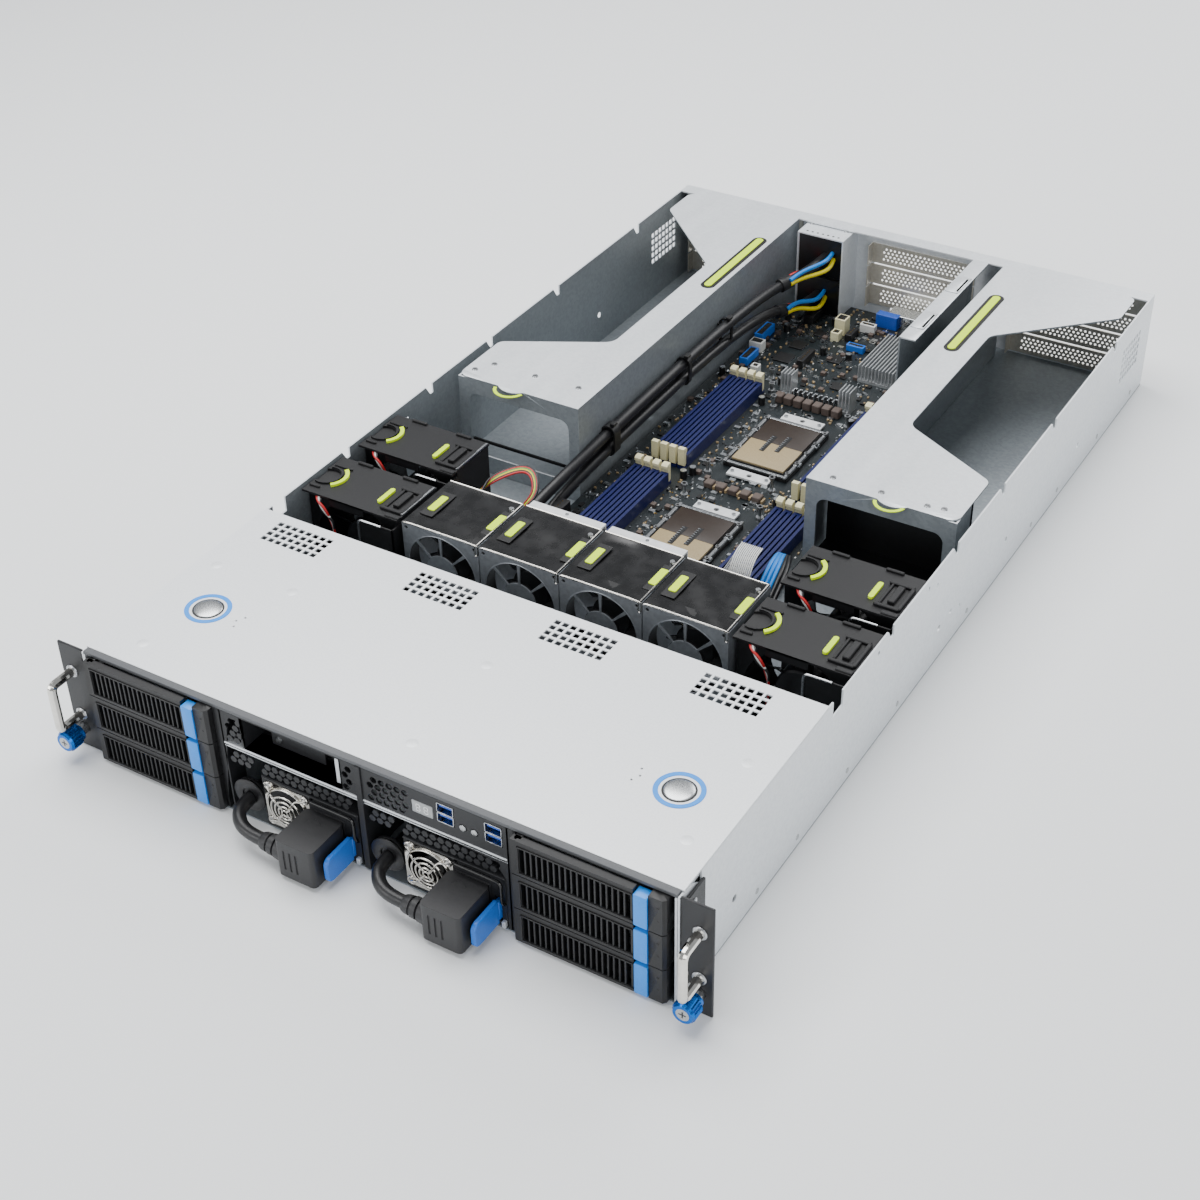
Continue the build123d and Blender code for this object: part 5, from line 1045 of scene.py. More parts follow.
class DressSupplies(bpy.types.Operator):
    """Make the two power supplies with their chrome fan guards, plugs and release levers"""

    bl_idname = "rackserver.dress_supplies"
    bl_label = "Power supplies"

    def execute(self, context):
        for side, bay, fan_x in zip(("left", "right"), BAY_LEFTS, SUPPLY_FANS):
            self.case(side, bay, fan_x)
            self.guard(side, fan_x)
            self.plug(side, bay)
            lever = Piece("blue_abs")
            left = bay + 92.9
            blade = lever.block((left, left + 3.6), (-27.5, -2.0), (5.4, 24.0))
            lever.round_corners(blade, 5.0, 6, "x", lambda place: place.y < at(0, -20.0, 0).y)
            lever.block((left, left + 3.6), (-2.2, 5.3), (7.4, 22.0))
            lever.finish(f"{side}_release_lever", f"{side}_supply_lever", [f"{side}_supply_lever"],
                         "blue_plastic", bevel=0.6)
        return {"FINISHED"}

    def case(self, side, bay, fan_x):
        """The black case: a front with its three openings, the fan behind it, and the bent bail."""
        piece = Piece("black_coat")
        left, right = bay + 27.2, bay + 100.7
        openings = [(fan_x, SUPPLY_FAN_HEIGHT, 17.2, 48, 0),
                    rectangle(bay + 63.6, bay + 88.4, 5.7, 30.5),
                    rectangle(bay + 92.4, bay + 97.0, 4.9, 24.5)]
        piece.sheet(facing_front(0.4), rectangle(left, right, 2.2, 42.2), openings, 19.0)
        piece.block((left, right), (19.4, 185.0), (2.2, 42.2))
        middle = at(fan_x, 0.0, SUPPLY_FAN_HEIGHT)
        piece.lathe([(0.0, 4.4), (7.0, 4.5), (8.0, 5.4), (8.0, 19.5)], middle, Vector((0, 1, 0)), 32,
                    "black_nylon")
        for index in range(7):
            turn = Matrix.Rotation(2 * pi * index / 7, 4, "Y")
            tilt = Matrix.Rotation(radians(48), 4, "X")
            verts = piece.block((0.0, 9.2), (0.0, 8.0), (0.0, 0.9), "black_nylon")
            centre = at(4.6, 4.0, 0.45)
            bmesh.ops.translate(piece.bm, vec=-centre, verts=verts)
            place = Matrix.Translation(middle + Vector((0, 9.5 * MM, 0))) @ turn
            bmesh.ops.transform(piece.bm, matrix=place @ Matrix.Translation((12.0 * MM, 0, 0)) @ tilt,
                                verts=verts)
        # A raised frame round the inlet and a small steel catch at the lever's foot
        for across, heights in (((bay + 62.2, bay + 89.8), (31.0, 32.2)),
                                ((bay + 62.2, bay + 63.4), (4.4, 31.0)),
                                ((bay + 88.6, bay + 89.8), (4.4, 31.0))):
            piece.block(across, (-0.3, 0.6), heights, bevel=0.2)
        piece.blocks(((bay + 97.6, bay + 100.4), (-2.4, 0.5), (2.6, 7.4), "zinc", 0.4),
                     ((left, right), (-0.6, 0.5), (41.2, 42.2), None, 0.2))
        bail = [at(*place) for place in
                ((left + 38.0, 0.6, 40.4), (left + 38.6, -2.6, 40.6), (left + 44.0, -2.8, 40.7),
                 (right - 8.0, -2.8, 40.7), (right - 1.4, -2.8, 40.4), (right - 1.4, -2.8, 34.0),
                 (right - 1.4, -2.8, 22.4), (right - 1.4, 0.6, 20.4))]
        piece.tube(bail, 1.25, "gloss_black")
        piece.finish(f"{side}_supply_case", slot="supply_case", bevel=0.25,
                     replaces=["power_supplies"] if side == "left" else ())

    def guard(self, side, fan_x):
        """The chrome fan guard: a square plate with lobes, and wires that bulge towards the front."""
        piece = Piece("chrome")
        half, cut = 17.8, 4.5
        low, high = SUPPLY_FAN_HEIGHT - half, SUPPLY_FAN_HEIGHT + half
        left, right = fan_x - half, fan_x + half
        outline = [(left + cut, low), (right - cut, low), (right, low + cut), (right, high - cut),
                   (right - cut, high), (left + cut, high), (left, high - cut), (left, low + cut)]
        piece.sheet(facing_front(-0.4), outline, [(fan_x, SUPPLY_FAN_HEIGHT, 16.2, 48, 0)], 0.75)
        middle = at(fan_x, -0.9, SUPPLY_FAN_HEIGHT)
        ahead = Vector((0, 1, 0))
        for radius, forward, thick in ((15.9, 0.0, 0.7), (11.6, -1.9, 0.8), (8.2, -2.5, 0.75),
                                       (5.0, -2.9, 0.75), (2.2, -3.0, 0.8)):
            piece.ring(middle + ahead * forward * MM, ahead, radius, thick, 48, 8)
        for quarter in range(4):
            out = Vector((cos(pi / 4 + quarter * pi / 2), 0, sin(pi / 4 + quarter * pi / 2)))
            side_way = out.cross(ahead)
            arm = [middle + (out * far + side_way * swing + ahead * forward) * MM for far, swing,
                   forward in ((2.0, 0.0, -2.9), (8.0, 0.6, -2.6), (12.0, 2.2, -1.8), (14.5, 2.6, -0.9),
                               (17.5, 0.6, -1.0), (20.6, 0.0, -0.9))]
            piece.tube(arm, 0.85)
            screw = middle + out * 20.2 * MM
            piece.ring(screw + ahead * 0.2 * MM, ahead, 2.5, 0.9, 24, 8)
            piece.rod(screw + ahead * 1.0 * MM, screw - ahead * 0.7 * MM, 2.0, 1.5, finish="steel")
            piece.block(about(screw.x / MM, 0.9), (-1.68, -1.5), about(screw.z / MM, 0.22), "black_nylon")
        piece.finish(f"{side}_fan_guard", slot="button_metal", angle=50.0)

    def plug(self, side, bay):
        """The moulded plug: round corners, three finger grooves, a thumb mark and a ribbed relief."""
        piece = Piece("plug")
        left, right = bay + 61.5, bay + 90.5
        body = piece.block((left, right), (-34.0, -1.0), (3.6, 32.6))
        piece.round_corners(body, 3.2, 5)
        cuts = [(at(left + 6.0 + step, 0, 0), Vector((1, 0, 0))) for step in (0.0, 1.5, 4.6, 6.1, 9.2, 10.7)]
        cuts += [(at(0, 0, height), Vector((0, 0, 1))) for height in (10.0, 25.5)]
        faces = piece.slice(list(piece.bm.verts), cuts)
        grooves = [f for f in faces if f.normal.y < -0.9 and 10.0 < f.calc_center_median().z / MM < 25.5
                   and any(left + 6.0 + step < f.calc_center_median().x / MM < left + 7.5 + step
                           for step in (0.0, 4.6, 9.2))]
        piece.sink(grooves, 0.3, 0.9)
        piece.block((bay + 64.1, bay + 87.9), (-1.1, 13.0), (6.2, 30.0), "rubber", bevel=1.2, segments=2)
        piece.sheet(facing_up(32.68), flat_arc(left + 12.5, -13.0, 5.4, 0.7, 25, 155), [], 0.4, "rubber")
        # Strain relief: three tapering collars with dark gaps between them
        profile = [(0.0, -2.0), (8.0, -1.0), (7.4, 4.6), (5.5, 4.7), (5.5, 6.0), (7.0, 6.1), (6.8, 10.2),
                   (5.3, 10.3), (5.3, 11.6), (6.4, 11.7), (6.0, 15.4), (5.2, 17.4), (0.0, 17.5)]
        piece.lathe(profile, at(left, -25.0, 16.5), Vector((-1, 0, 0)), 40)
        piece.finish(f"{side}_mains_plug", f"{side}_plug", [f"{side}_plug"], "cable_black", bevel=0.5)


CENTRE_FANS = (-97.5, -32.5, 32.5, 97.5)
SIDE_FAN_X = 175.0
SIDE_FAN_STARTS = (231.0, 299.0)
SIDE_FAN_HEIGHT = 41.0
CENTRE_FAN_FRONT = 225.0
CENTRE_FAN_REAR = 285.0
CENTRE_FAN_HEIGHT = 51.0


def flat_arc(middle_x, middle_depth, radius, width, start, end, steps=12):
    """The outline of a flat ring's part between two angles in degrees."""
    turns = [radians(start + (end - start) * k / steps) for k in range(steps + 1)]
    outer = [(middle_x + (radius + width) * cos(t), middle_depth + (radius + width) * sin(t)) for t in turns]
    inner = [(middle_x + radius * cos(t), middle_depth + radius * sin(t)) for t in reversed(turns)]
    return outer + inner


class DressFans(bpy.types.Operator):
    """Make the four centre fans and the four side fans, and dress their rotors"""

    bl_idname = "rackserver.dress_fans"
    bl_label = "Fans"

    def execute(self, context):
        for index, fan_x in enumerate(CENTRE_FANS):
            self.centre_fan(index + 1, fan_x)
            node = f"centre_rotor_{index + 1}"
            rotor = Piece("rotor")
            self.rotor_on(rotor, fan_x, CENTRE_FAN_HEIGHT, CENTRE_FAN_FRONT + 14.0, 24.0, 15.0, 27.2, 9)
            rotor.finish(f"{node}_blades", node, [node], "black_plastic")
        number = 0
        for side, sign in SIDES:
            for start in SIDE_FAN_STARTS:
                number += 1
                self.side_fan(number, sign, sign * SIDE_FAN_X, start)
            self.side_rotors(f"{side}_side_rotors", sign * SIDE_FAN_X)
        return {"FINISHED"}

    def centre_fan(self, number, fan_x):
        """One module: a steel box with a spoked mouth, a creased film top, latches and silver edging."""
        piece = Piece("fan_steel")
        left, right, front, rear = fan_x - 32.0, fan_x + 32.0, CENTRE_FAN_FRONT, CENTRE_FAN_REAR
        gap = 2.6
        mouths = [flat_arc(fan_x, CENTRE_FAN_HEIGHT, 13.0, 15.5, 45 * k + gap, 45 * (k + 1) - gap, 6)
                  for k in range(8)]
        holes = mouths + [(fan_x - 28.6, 79.8, 1.5, 12, 0), (fan_x + 28.6, 79.8, 1.5, 12, 0)]
        piece.sheet(facing_front(front), rectangle(left, right, 13.0, 83.2), holes, 1.2)
        piece.ring(at(fan_x, front + 0.4, 51.0), Vector((0, 1, 0)), 28.9, 0.7, 64, 6)
        for across in ((left, left + 1.2), (right - 1.2, right)):
            piece.block(across, (front + 1.2, rear), (13.0, 83.0))
        piece.blocks(((left, right), (front + 1.2, rear), (13.0, 14.2)),
                     ((left, right), (rear - 2.4, rear), (48.0, 54.0)))
        for edge in (left, right - 3.0):
            for start in (front, rear - 3.0):
                piece.block((edge, edge + 3.0), (start, start + 3.0), (1.2, 13.05), "black_nylon")
        # The mouth's throat, and the dark disc behind the spokes' hub
        piece.sheet(facing_front(front + 1.3), rectangle(left + 1.3, right - 1.3, 14.3, 82.9),
                    [(fan_x, CENTRE_FAN_HEIGHT, 28.4, 48, 0)], 11.0, "black_nylon")
        piece.level(fan_x, (front + 1.0, front + 3.0), 51.0, 13.4, sides=40, finish="black_nylon")
        self.film_top(piece, left, right, front, rear, "film")
        # Bent silver edging along the front and between the modules, with its small loops
        piece.tube([at(x, front + 0.3, z) for x, z in ((left + 1.0, 83.4), (left + 2.4, 84.1), (fan_x, 84.1),
                                                       (right - 2.4, 84.1), (right - 1.0, 83.4))], 0.8,
                   "chrome")
        piece.tube([at(right - 1.2, depth, 84.2) for depth in (front + 0.4, front + 20.0, rear - 1.0)], 0.7,
                   "chrome")
        piece.tube([at(right - 2.2, front - 0.1, z)
                    for z in (84.0, 80.0, 76.4)] + [at(right - 0.9, front - 0.5, 75.6),
                                                    at(right + 0.1, front - 0.1, 77.0),
                                                    at(right + 0.1, front, 84.0)], 0.5, "chrome")
        piece.tube([at(x, rear - 0.6, 84.0) for x in (left + 1.0, fan_x, right - 1.0)], 0.55, "chrome")
        for pad_x, half in ((fan_x - 21.3, 5.4), (fan_x + 28.3, 3.9)):
            piece.block(about(pad_x, half), (239.0, 270.0), (83.9, 84.7), "black_nylon", bevel=0.3)
            piece.round_corners(piece.block(about(pad_x, 2.9), (245.0, 264.0), (84.6, 85.4), "lime"), 1.2, 4)
        piece.upright(right - 4.0, rear - 11.0, (83.8, 86.0), 2.2, 1.7, finish="steel")
        if number in (2, 3):
            piece.blocks(((left + 2.0, right - 2.0), (rear - 0.4, rear + 7.0), (83.0, 84.3), "bright_sheet"),
                         ((left + 2.0, right - 2.0), (rear + 5.8, rear + 7.0), (70.0, 83.1), "bright_sheet"))
            piece.upright(fan_x, rear + 3.6, (84.2, 84.7), 1.4, sides=16, finish="steel")
        piece.finish(f"centre_fan_module_{number}", slot="steel_sheet", bevel=0.2,
                     replaces=["centre_fan_frames"] if number == 1 else ())

    def film_top(self, piece, left, right, front, rear, film):
        """A thin film lid, creased by hand: its grid is pushed down in a few soft dents."""
        place = Matrix.Translation(at((left + right) / 2, (front + rear) / 2, 83.9))
        place = place @ Matrix.Diagonal(((right - left) * MM / 2 - 0.0004, (rear - front) * MM / 2, 1, 1))
        verts = bmesh.ops.create_grid(piece.bm, x_segments=20, y_segments=20, size=1.0, matrix=place)["verts"]
        dice = random.Random(int(left * 7) % 1000 + 11)
        dents = [(dice.uniform(left + 10, right - 10), dice.uniform(front + 8, rear - 8), dice.uniform(7, 16),
                  dice.uniform(-0.9, 0.5), dice.uniform(0.25, 0.8)) for _ in range(14)]
        for vert in verts:
            x, depth = vert.co.x / MM, (vert.co.y - FRONT_Y) / MM
            drop = 0.0
            for dent_x, dent_depth, radius, tall, squeeze in dents:
                away = (((x - dent_x) * squeeze + (depth - dent_depth) * (1 - squeeze)) ** 2
                        + ((x - dent_x) * 0.35) ** 2) ** 0.5
                drop += tall * max(0.0, 1 - away / radius)
            edge = min(x - left, right - x, depth - front, rear - depth)
            vert.co.z += max(-1.3, min(0.8, drop)) * MM * min(1.0, max(0.0, edge / 6))
        piece.paint(verts, film)
        piece.block((left, right), (front + 1.2, rear), (81.6, 82.2), film)

    def rotor_on(self, piece, fan_x, height, start, depth, hub, radius, blades):
        """Add a rotor with a rounded hub and blades that are swept and pitched."""
        centre = at(fan_x, start, height)
        piece.lathe([(0.0, 0.0), (hub - 1.2, 0.1), (hub, 1.3), (hub, depth), (0.0, depth)], centre,
                    Vector((0, 1, 0)), 40)
        for index in range(blades):
            place = bmesh.ops.create_grid(piece.bm, x_segments=6, y_segments=5, size=0.5)["verts"]
            for vert in place:
                share = vert.co.x + 0.5
                along = vert.co.y
                reach = hub - 0.6 + (radius - 0.8 - hub) * share
                pitch = radians(52 - 14 * share)
                chord = depth * 0.86 * along
                swing = radians(10 * share) + chord * cos(pitch) / reach
                lift = chord * sin(pitch) + 1.2 * (0.25 - along * along)
                turn = 2 * pi * index / blades + swing
                vert.co = centre + Vector((cos(turn) * reach, depth / 2 + lift, sin(turn) * reach)) * MM
            faces = list({f for v in place for f in v.link_faces})
            bmesh.ops.solidify(piece.bm, geom=faces, thickness=0.9 * MM)

    def side_rotors(self, node, fan_x):
        """The two rotors that stand in tandem on one side."""
        piece = Piece("rotor")
        for start in SIDE_FAN_STARTS:
            self.rotor_on(piece, fan_x, SIDE_FAN_HEIGHT, start + 8.0, 20.0, 18.0, 35.5, 9)
        piece.finish(f"{node}_blades", node, [node], "black_plastic")

    def side_fan(self, number, sign, fan_x, start):
        """One housing with its round bore, under a moulded top with a finger bite and lime marks."""
        piece = Piece("black_nylon")
        left, right, rear = fan_x - 42.0, fan_x + 42.0, start + 40.0
        piece.sheet(facing_front(start), rectangle(left, right, 1.2, 81.4),
                    [(fan_x, SIDE_FAN_HEIGHT, 37.0, 64, 0)], 38.5)
        holes = [flat_arc(fan_x, SIDE_FAN_HEIGHT, 14.0, 23.0, 90 * k + 48.5, 90 * (k + 1) + 41.5, 6)
                 for k in range(4)]
        piece.sheet(facing_front(rear - 1.5), rectangle(left, right, 1.2, 81.4), holes, 1.5)
        for index in range(15):
            turn = Matrix.Translation(at(fan_x, rear - 7.0, 41.0)) @ Matrix.Rotation(2 * pi * index / 15, 4,
                                                                                     "Y")
            vane = piece.block((0.0, 20.0), (0.0, 11.0), (0.0, 1.0))
            bmesh.ops.translate(piece.bm, vec=-at(0.0, 5.5, 0.5), verts=vane)
            tilt = Matrix.Rotation(radians(38), 4, "X")
            bmesh.ops.transform(piece.bm, matrix=turn @ Matrix.Translation((17.5 * MM, 0, 0)) @ tilt,
                                verts=vane)
        piece.level(fan_x, (rear - 13.0, rear), 41.0, 17.0, sides=40)
        # The top: an edge open round the finger hole, which is dark below
        middle, hole, open_turn = (left + 6.0, start + 16.0), 9.6, 2.25
        bite = [(middle[0] + hole * cos(t), middle[1] + hole * sin(t))
                for t in [open_turn - k * open_turn / 9 for k in range(19)]]
        edge = [(left, bite[-1][1]), (left, start - 7.0), (right, start - 7.0), (right, rear + 2.0),
                (left, rear + 2.0), (left, bite[0][1])]
        piece.sheet(facing_up(83.1), edge + bite, [], 1.6, "black_abs")
        piece.sheet(facing_up(84.5), flat_arc(*middle, 10.0, 1.2, -110, 110), [], 1.5, "black_abs")
        piece.block((left + 1.0, left + 19.0), (start + 4.0, start + 28.0), (70.0, 71.0))
        piece.sheet(facing_up(84.9), flat_arc(middle[0] + 1.0, middle[1], 12.0, 3.0, -48, 56), [], 1.9,
                    "lime")
        bar = right - 24.5
        piece.round_corners(piece.block(about(bar, 1.9), (start + 5.0, start + 24.0), (83.0, 84.9), "lime"),
                            1.7, 4)
        # Clips on the rear edge, the release lever with its ribs at the right, and the stepped front
        for clip_x, clip_depth, wide, long, high in (
                (left + 22.0, rear + 0.5, 13.0, 2.4, 85.0), (right - 22.0, rear + 0.5, 13.0, 2.4, 85.0),
                (right - 10.0, start + 15.0, 5.0, 19.0, 86.2), (right - 17.0, start + 15.0, 2.0, 24.0, 84.8),
                (right - 2.6, start + 14.0, 3.2, 26.0, 85.2), (right - 11.0, start + 1.0, 18.0, 2.6, 85.4),
                (right - 11.0, start + 27.5, 18.0, 2.6, 85.4), (right - 6.0, start - 4.0, 12.0, 4.0, 84.2),
                (left + 6.0, start + 0.5, 9.0, 2.2, 84.8), (left + 10.0, start + 30.0, 16.0, 2.0, 84.6)):
            piece.block(about(clip_x, wide / 2), about(clip_depth, long / 2),
                        (82.9, high), "black_abs", bevel=0.5)
        piece.blocks(((right - 16.0, right - 4.0), (start + 4.0, start + 26.0), (82.9, 83.3)),
                     ((left + 24.0, right - 30.0), (start - 7.0, start - 6.0), (76.0, 83.0), "black_abs"))
        # A bracket with a rounded bright edge ahead of the right corner
        far = start - 13.0
        piece.sheet(facing_front(far), [(right - 30.0, 1.2), (right, 1.2), (right, 78.0),
                                        (right - 26.0, 78.0), (right - 30.0, 74.0)],
                    [rectangle(right - 26.0, right - 6.0, 20.0, 60.0)], 1.2)
        piece.block((right - 1.2, right), (far, start), (1.2, 78.0))
        piece.tube([at(x, far - 0.2, z) for x, z in ((right - 30.0, 40.0), (right - 30.0, 72.0),
                                                     (right - 29.6, 78.0), (right - 24.0, 78.4),
                                                     (right - 10.0, 78.4))], 0.9, "steel")
        if sign < 0:
            piece.block((right - 1.6, right), (start, rear), (82.9, 84.4), "steel")
        piece.finish(f"side_fan_module_{number}", slot="black_plastic", bevel=0.3,
                     replaces=["side_fan_frames"] if number == 1 else ())
        for shift, finish in ((0.0, "red_wire"), (1.9, "white_wire"), (3.8, "rubber")):
            small_cord(f"side_fan_{number}_{finish}",
                       ((left + 12.0 + shift, start - 5.0, 80.5), (left + 14.0 + shift, start - 9.0, 79.5),
                        (left + 22.0 - shift, start - 10.5, 76.0 - shift),
                        (left + 26.0 + shift, start - 9.5, 66.0), (left + 29.0 - shift, start - 9.0, 52.0),
                        (left + 26.0 + shift, start - 8.0, 36.0), (left + 26.0 + shift, start - 0.5, 24.0)),
                       1.0, finish)


class DressRisers(bpy.types.Operator):
    """Dress the two riser cages and the middle riser with screws, pads and coloured marks"""

    bl_idname = "rackserver.dress_risers"
    bl_label = "Riser cages"

    def execute(self, context):

        def painted_shade_below_tops(centre, normal):
            """The flat tops keep the sheet's own colour; the walls, frames and undersides take the darker
            copy as painted shade.
            """
            return "zinc" if normal.z > 0.5 else "shaded_zinc"

        screws = {"left": ((-192, 437), (-154, 437), (-115, 438), (-201, 423)),
                  "right": ((110, 420), (148, 419.5), (183, 419.5), (195, 421.5))}
        for side, sign in SIDES:
            piece = Piece("zinc")
            piece.copy_node(f"{side}_riser", choose=painted_shade_below_tops)
            for x, depth in screws[side]:
                piece.upright(x, depth, (85.9, 86.7), 2.6, 2.2, finish="steel")
                piece.block(about(x, 1.4), about(depth, 0.3), (86.65, 86.75), "black_nylon")
            x = sign * 109.4
            for half, low, high, finish in ((6.4, 84.9, 86.25, "black_nylon"), (3.3, 86.1, 86.9, "lime")):
                reach = 52.5 + half - 6.0
                outline = [(x + half * cos(t), (682.5 + reach - half if sin(t) > 0 else 682.5 - reach + half)
                            + half * sin(t)) for t in [(k + 0.5) * pi / 10 for k in range(20)]]
                piece.sheet(facing_up(high), outline, [], high - low, finish)
            # A black sheet at the back of the right cage and a black strip on its floor: painted shade that
            # stands for the dark interior seen through the window
            if side == "right":
                piece.blocks(((95.5, 207.0), (446.0, 447.0), (12.0, 84.0), "black_nylon"),
                             ((95.5, 207.0), (418.0, 446.0), (12.0, 12.8), "black_nylon"))
            else:
                piece.block((-207.4, -100.4), (424.0, 425.4), (19.0, 21.4), "black_nylon")
            mark_x, mark_radius = (-160.0, 11.0) if side == "left" else (159.0, 10.0)
            mark = flat_arc(mark_x, 411.0, mark_radius, 2.6, 195, 345)
            piece.sheet(facing_up(86.5), mark, [], 0.6, "lime")
            piece.finish(f"{side}_riser_cage", f"{side}_riser", [f"{side}_riser"], "steel_sheet", bevel=0.2,
                         angle=18.0)
        middle = Piece("zinc")
        # The middle riser's walls, frames and underside take the same painted shade
        middle.copy_node("middle_riser", choose=painted_shade_below_tops)
        for depth in (666.0, 736.0):
            middle.blocks(((67.6, 78.4), about(depth, 15.0), (85.9, 86.5), "black_nylon", 0.2),
                          ((75.6, 77.6), about(depth, 12.0), (86.45, 86.7), "lime"))
        middle.finish("middle_riser_plate", "middle_riser", ["middle_riser"], "steel_sheet", bevel=0.2)
        return {"FINISHED"}


SLOT_PITCH = 20.32


class DressRear(bpy.types.Operator):
    """Dress the rear slot covers and the mains inlets"""

    bl_idname = "rackserver.dress_rear"
    bl_label = "Rear end"

    def execute(self, context):
        covers = Piece("nickel")
        for left, floor, count in ((-214.0, 3.0, 4), (101.0, 3.0, 4), (-33.0, 14.2, 3)):
            right = 64.0 if count == 3 else left + 113.0
            for slot in range(count):
                low = floor + slot * SLOT_PITCH
                holes = grid(left + 12.0, low + 4.6, 4.0, 3.3, int((right - left - 20) / 4.0), 4, 1.15, 8,
                             stagger=2.0)
                covers.sheet(facing_front(797.8), rectangle(left, right, low, low + 18.6), holes, 1.0)
                covers.block((left, left + 1.0), (789.8, 797.9), (low, low + 18.6))
        covers.finish("perforated_slot_covers", replaces=["slot_covers"], slot="steel_sheet")
        inlets = Piece("zinc")
        rim = 766.9 * MM + FRONT_Y

        def choose(centre, normal):
            """The two moulded sockets are black in their steel bracket."""
            x, height = centre.x / MM, centre.z / MM
            inside = -90.0 < x < -48.0 and 5.5 < height < 83.0 and centre.y > rim + 1.5 * MM
            return "black_nylon" if inside else "zinc"

        inlets.copy_node("power_inlets", choose=choose)
        roof = node_range("power_inlets", 2)[1]
        for index in range(7):
            x = -84.0 + index * 5.0
            inlets.upright(x, 772.0, (roof - 0.1, roof + 0.06), 1.1, sides=12, finish="black_nylon")
        for x in (-86.5, -53.0):
            inlets.upright(x, 786.0, (roof - 0.1, roof + 0.8), 2.2, 1.8, finish="steel")
        inlets.finish("mains_inlets", replaces=["power_inlets"], slot="steel_sheet", bevel=0.2)
        return {"FINISHED"}


BOARD_TOP = 9.6
SCATTER_SEED = 41
SCATTER_DRAWS = 3600


class DressBoard(bpy.types.Operator):
    """Make the main board with its chips, connectors, chokes, capacitors, heatsinks and processor sockets"""

    bl_idname = "rackserver.dress_board"
    bl_label = "Main board"

    def execute(self, context):
        self.board()
        for number, front in enumerate((354.0, 502.0)):
            self.socket(number + 1, front)
        self.memory()
        self.wires()
        return {"FINISHED"}

    def board(self):
        """The laminate, and everything soldered on it or screwed down."""
        piece = Piece("board")
        outline = [(-97.0, 300.0), (90.0, 300.0), (90.0, 790.0), (-46.0, 790.0), (-46.0, 765.8),
                   (-97.0, 765.8)]
        piece.sheet(facing_up(BOARD_TOP), outline, [], 1.6)

        def place(key, left, front, width, length, height, bevel=0.0):
            """A part soldered on the board, from its corner and its size."""
            piece.block((left, left + width), (front, front + length), (BOARD_TOP - 0.05, BOARD_TOP + height),
                        key, bevel=bevel)

        # Connectors: a housing, and a dark trough along its top
        for key, left, front, width, length, height in (("black_nylon", -95, 312, 9, 26, 9),
                                                        ("white", -30, 308, 22, 8, 9),
                                                        ("black_nylon", 24, 308, 34, 7, 9),
                                                        ("cream", 62, 303, 24, 7, 9),
                                                        ("blue_abs", -86, 650, 8, 22, 7),
                                                        ("blue_abs", -93, 692, 8, 24, 8),
                                                        ("white", -90, 676, 12, 9, 9),
                                                        ("black_nylon", -70, 742, 9, 20, 8),
                                                        ("black_nylon", -40, 668, 6, 24, 8),
                                                        ("cream", -38, 738, 10, 11, 15),
                                                        ("cream", -36, 726, 8, 8, 8),
                                                        ("black_nylon", 72, 700, 8, 24, 9),
                                                        ("black_nylon", -95, 349, 10, 26, 19),
                                                        ("white", -20, 752, 14, 6, 8),
                                                        ("blue_abs", -16, 716, 16, 6, 6),
                                                        ("white", -70, 640, 7, 7, 8),
                                                        ("black_nylon", -24, 730, 6, 16, 7),
                                                        ("white", -60, 770, 5, 16, 8)):
            place(key, left, front, width, length, height, 0.3)
            piece.block((left + 1.4, left + width - 1.4), (front + 1.4, front + length - 1.4),
                        (BOARD_TOP + height - 0.3, BOARD_TOP + height + 0.06), "chip")
            long_way = length > width
            for step in range(int((length if long_way else width) / 3.2) - 1):
                x = left + width / 2 if long_way else left + 3.0 + step * 3.2
                depth = front + 3.0 + step * 3.2 if long_way else front + length / 2
                piece.block(about(x, 0.35), about(depth, 0.35),
                            (BOARD_TOP + height - 0.2, BOARD_TOP + height + 0.3), "gold")
        # The ports at the rear edge: tinned shells, and a blue housing
        place("tin", -4, 774, 31, 16, 12, 0.3)
        place("blue_tongue", -12, 768, 20, 8, 12.5, 0.3)
        # Chips: epoxy packages with rows of tinned legs on two sides
        for left, front, size in ((-64, 670, 15), (-62, 697, 13), (-4, 739, 13), (-22, 690, 12),
                                  (78, 652, 10), (0, 650, 11), (-10, 318, 9), (-38, 640, 9), (10, 322, 8),
                                  (-52, 726, 9), (64, 640, 8), (38, 744, 14), (62, 752, 11)):
            place("chip", left, front, size, size, 1.5, 0.2)
            for step in range(int(size / 1.2)):
                depth = front + 0.5 + step * 1.2
                for x in (left - 0.7, left + size + 0.1):
                    piece.block((x, x + 0.6), (depth, depth + 0.5), (BOARD_TOP, BOARD_TOP + 0.7), "tin")
        # Chokes in a row behind the rear socket, a comb of shunts, and tall finned sinks at each end
        for index in range(7):
            place("ferrite", -31 + index * 8.7, 608, 7.2, 8, 7.4, 0.7)
        for index in range(9):
            place("tin", -20 + index * 4.6, 619, 1.3, 6, 8.5, 0.2)
            place("tin", -20 + index * 4.6, 624, 3.0, 1.2, 8.5, 0.2)
        self.finned(piece, -32, -22, 622, 634, 21, 4)
        self.finned(piece, 23, 33, 618, 632, 21, 4)
        self.finned(piece, 15, 62, 673, 735, 15.5, 16)
        for front in (334.0, 466.0):
            for index in range(5):
                place("ferrite", -20 + index * 10.5, front, 7.4, 7.4, 5.0, 0.6)
                place("ceramic", -12.2 + index * 10.5, front + 0.6, 1.6, 5.8, 2.6)
        self.scatter(piece)
        piece.finish("dressed_main_board", replaces=["mainboard"], slot="board", angle=30.0)

    def finned(self, piece, left, right, front, rear, height, fins):
        """A heatsink with upright fins on a base plate."""
        piece.block((left, right), (front, rear), (BOARD_TOP, BOARD_TOP + 2.4), "sink")
        pitch = (right - left - 0.8) / (fins - 1)
        for index in range(fins):
            x = left + index * pitch
            piece.block((x, x + 0.8), (front, rear), (BOARD_TOP + 2.3, BOARD_TOP + height), "sink")

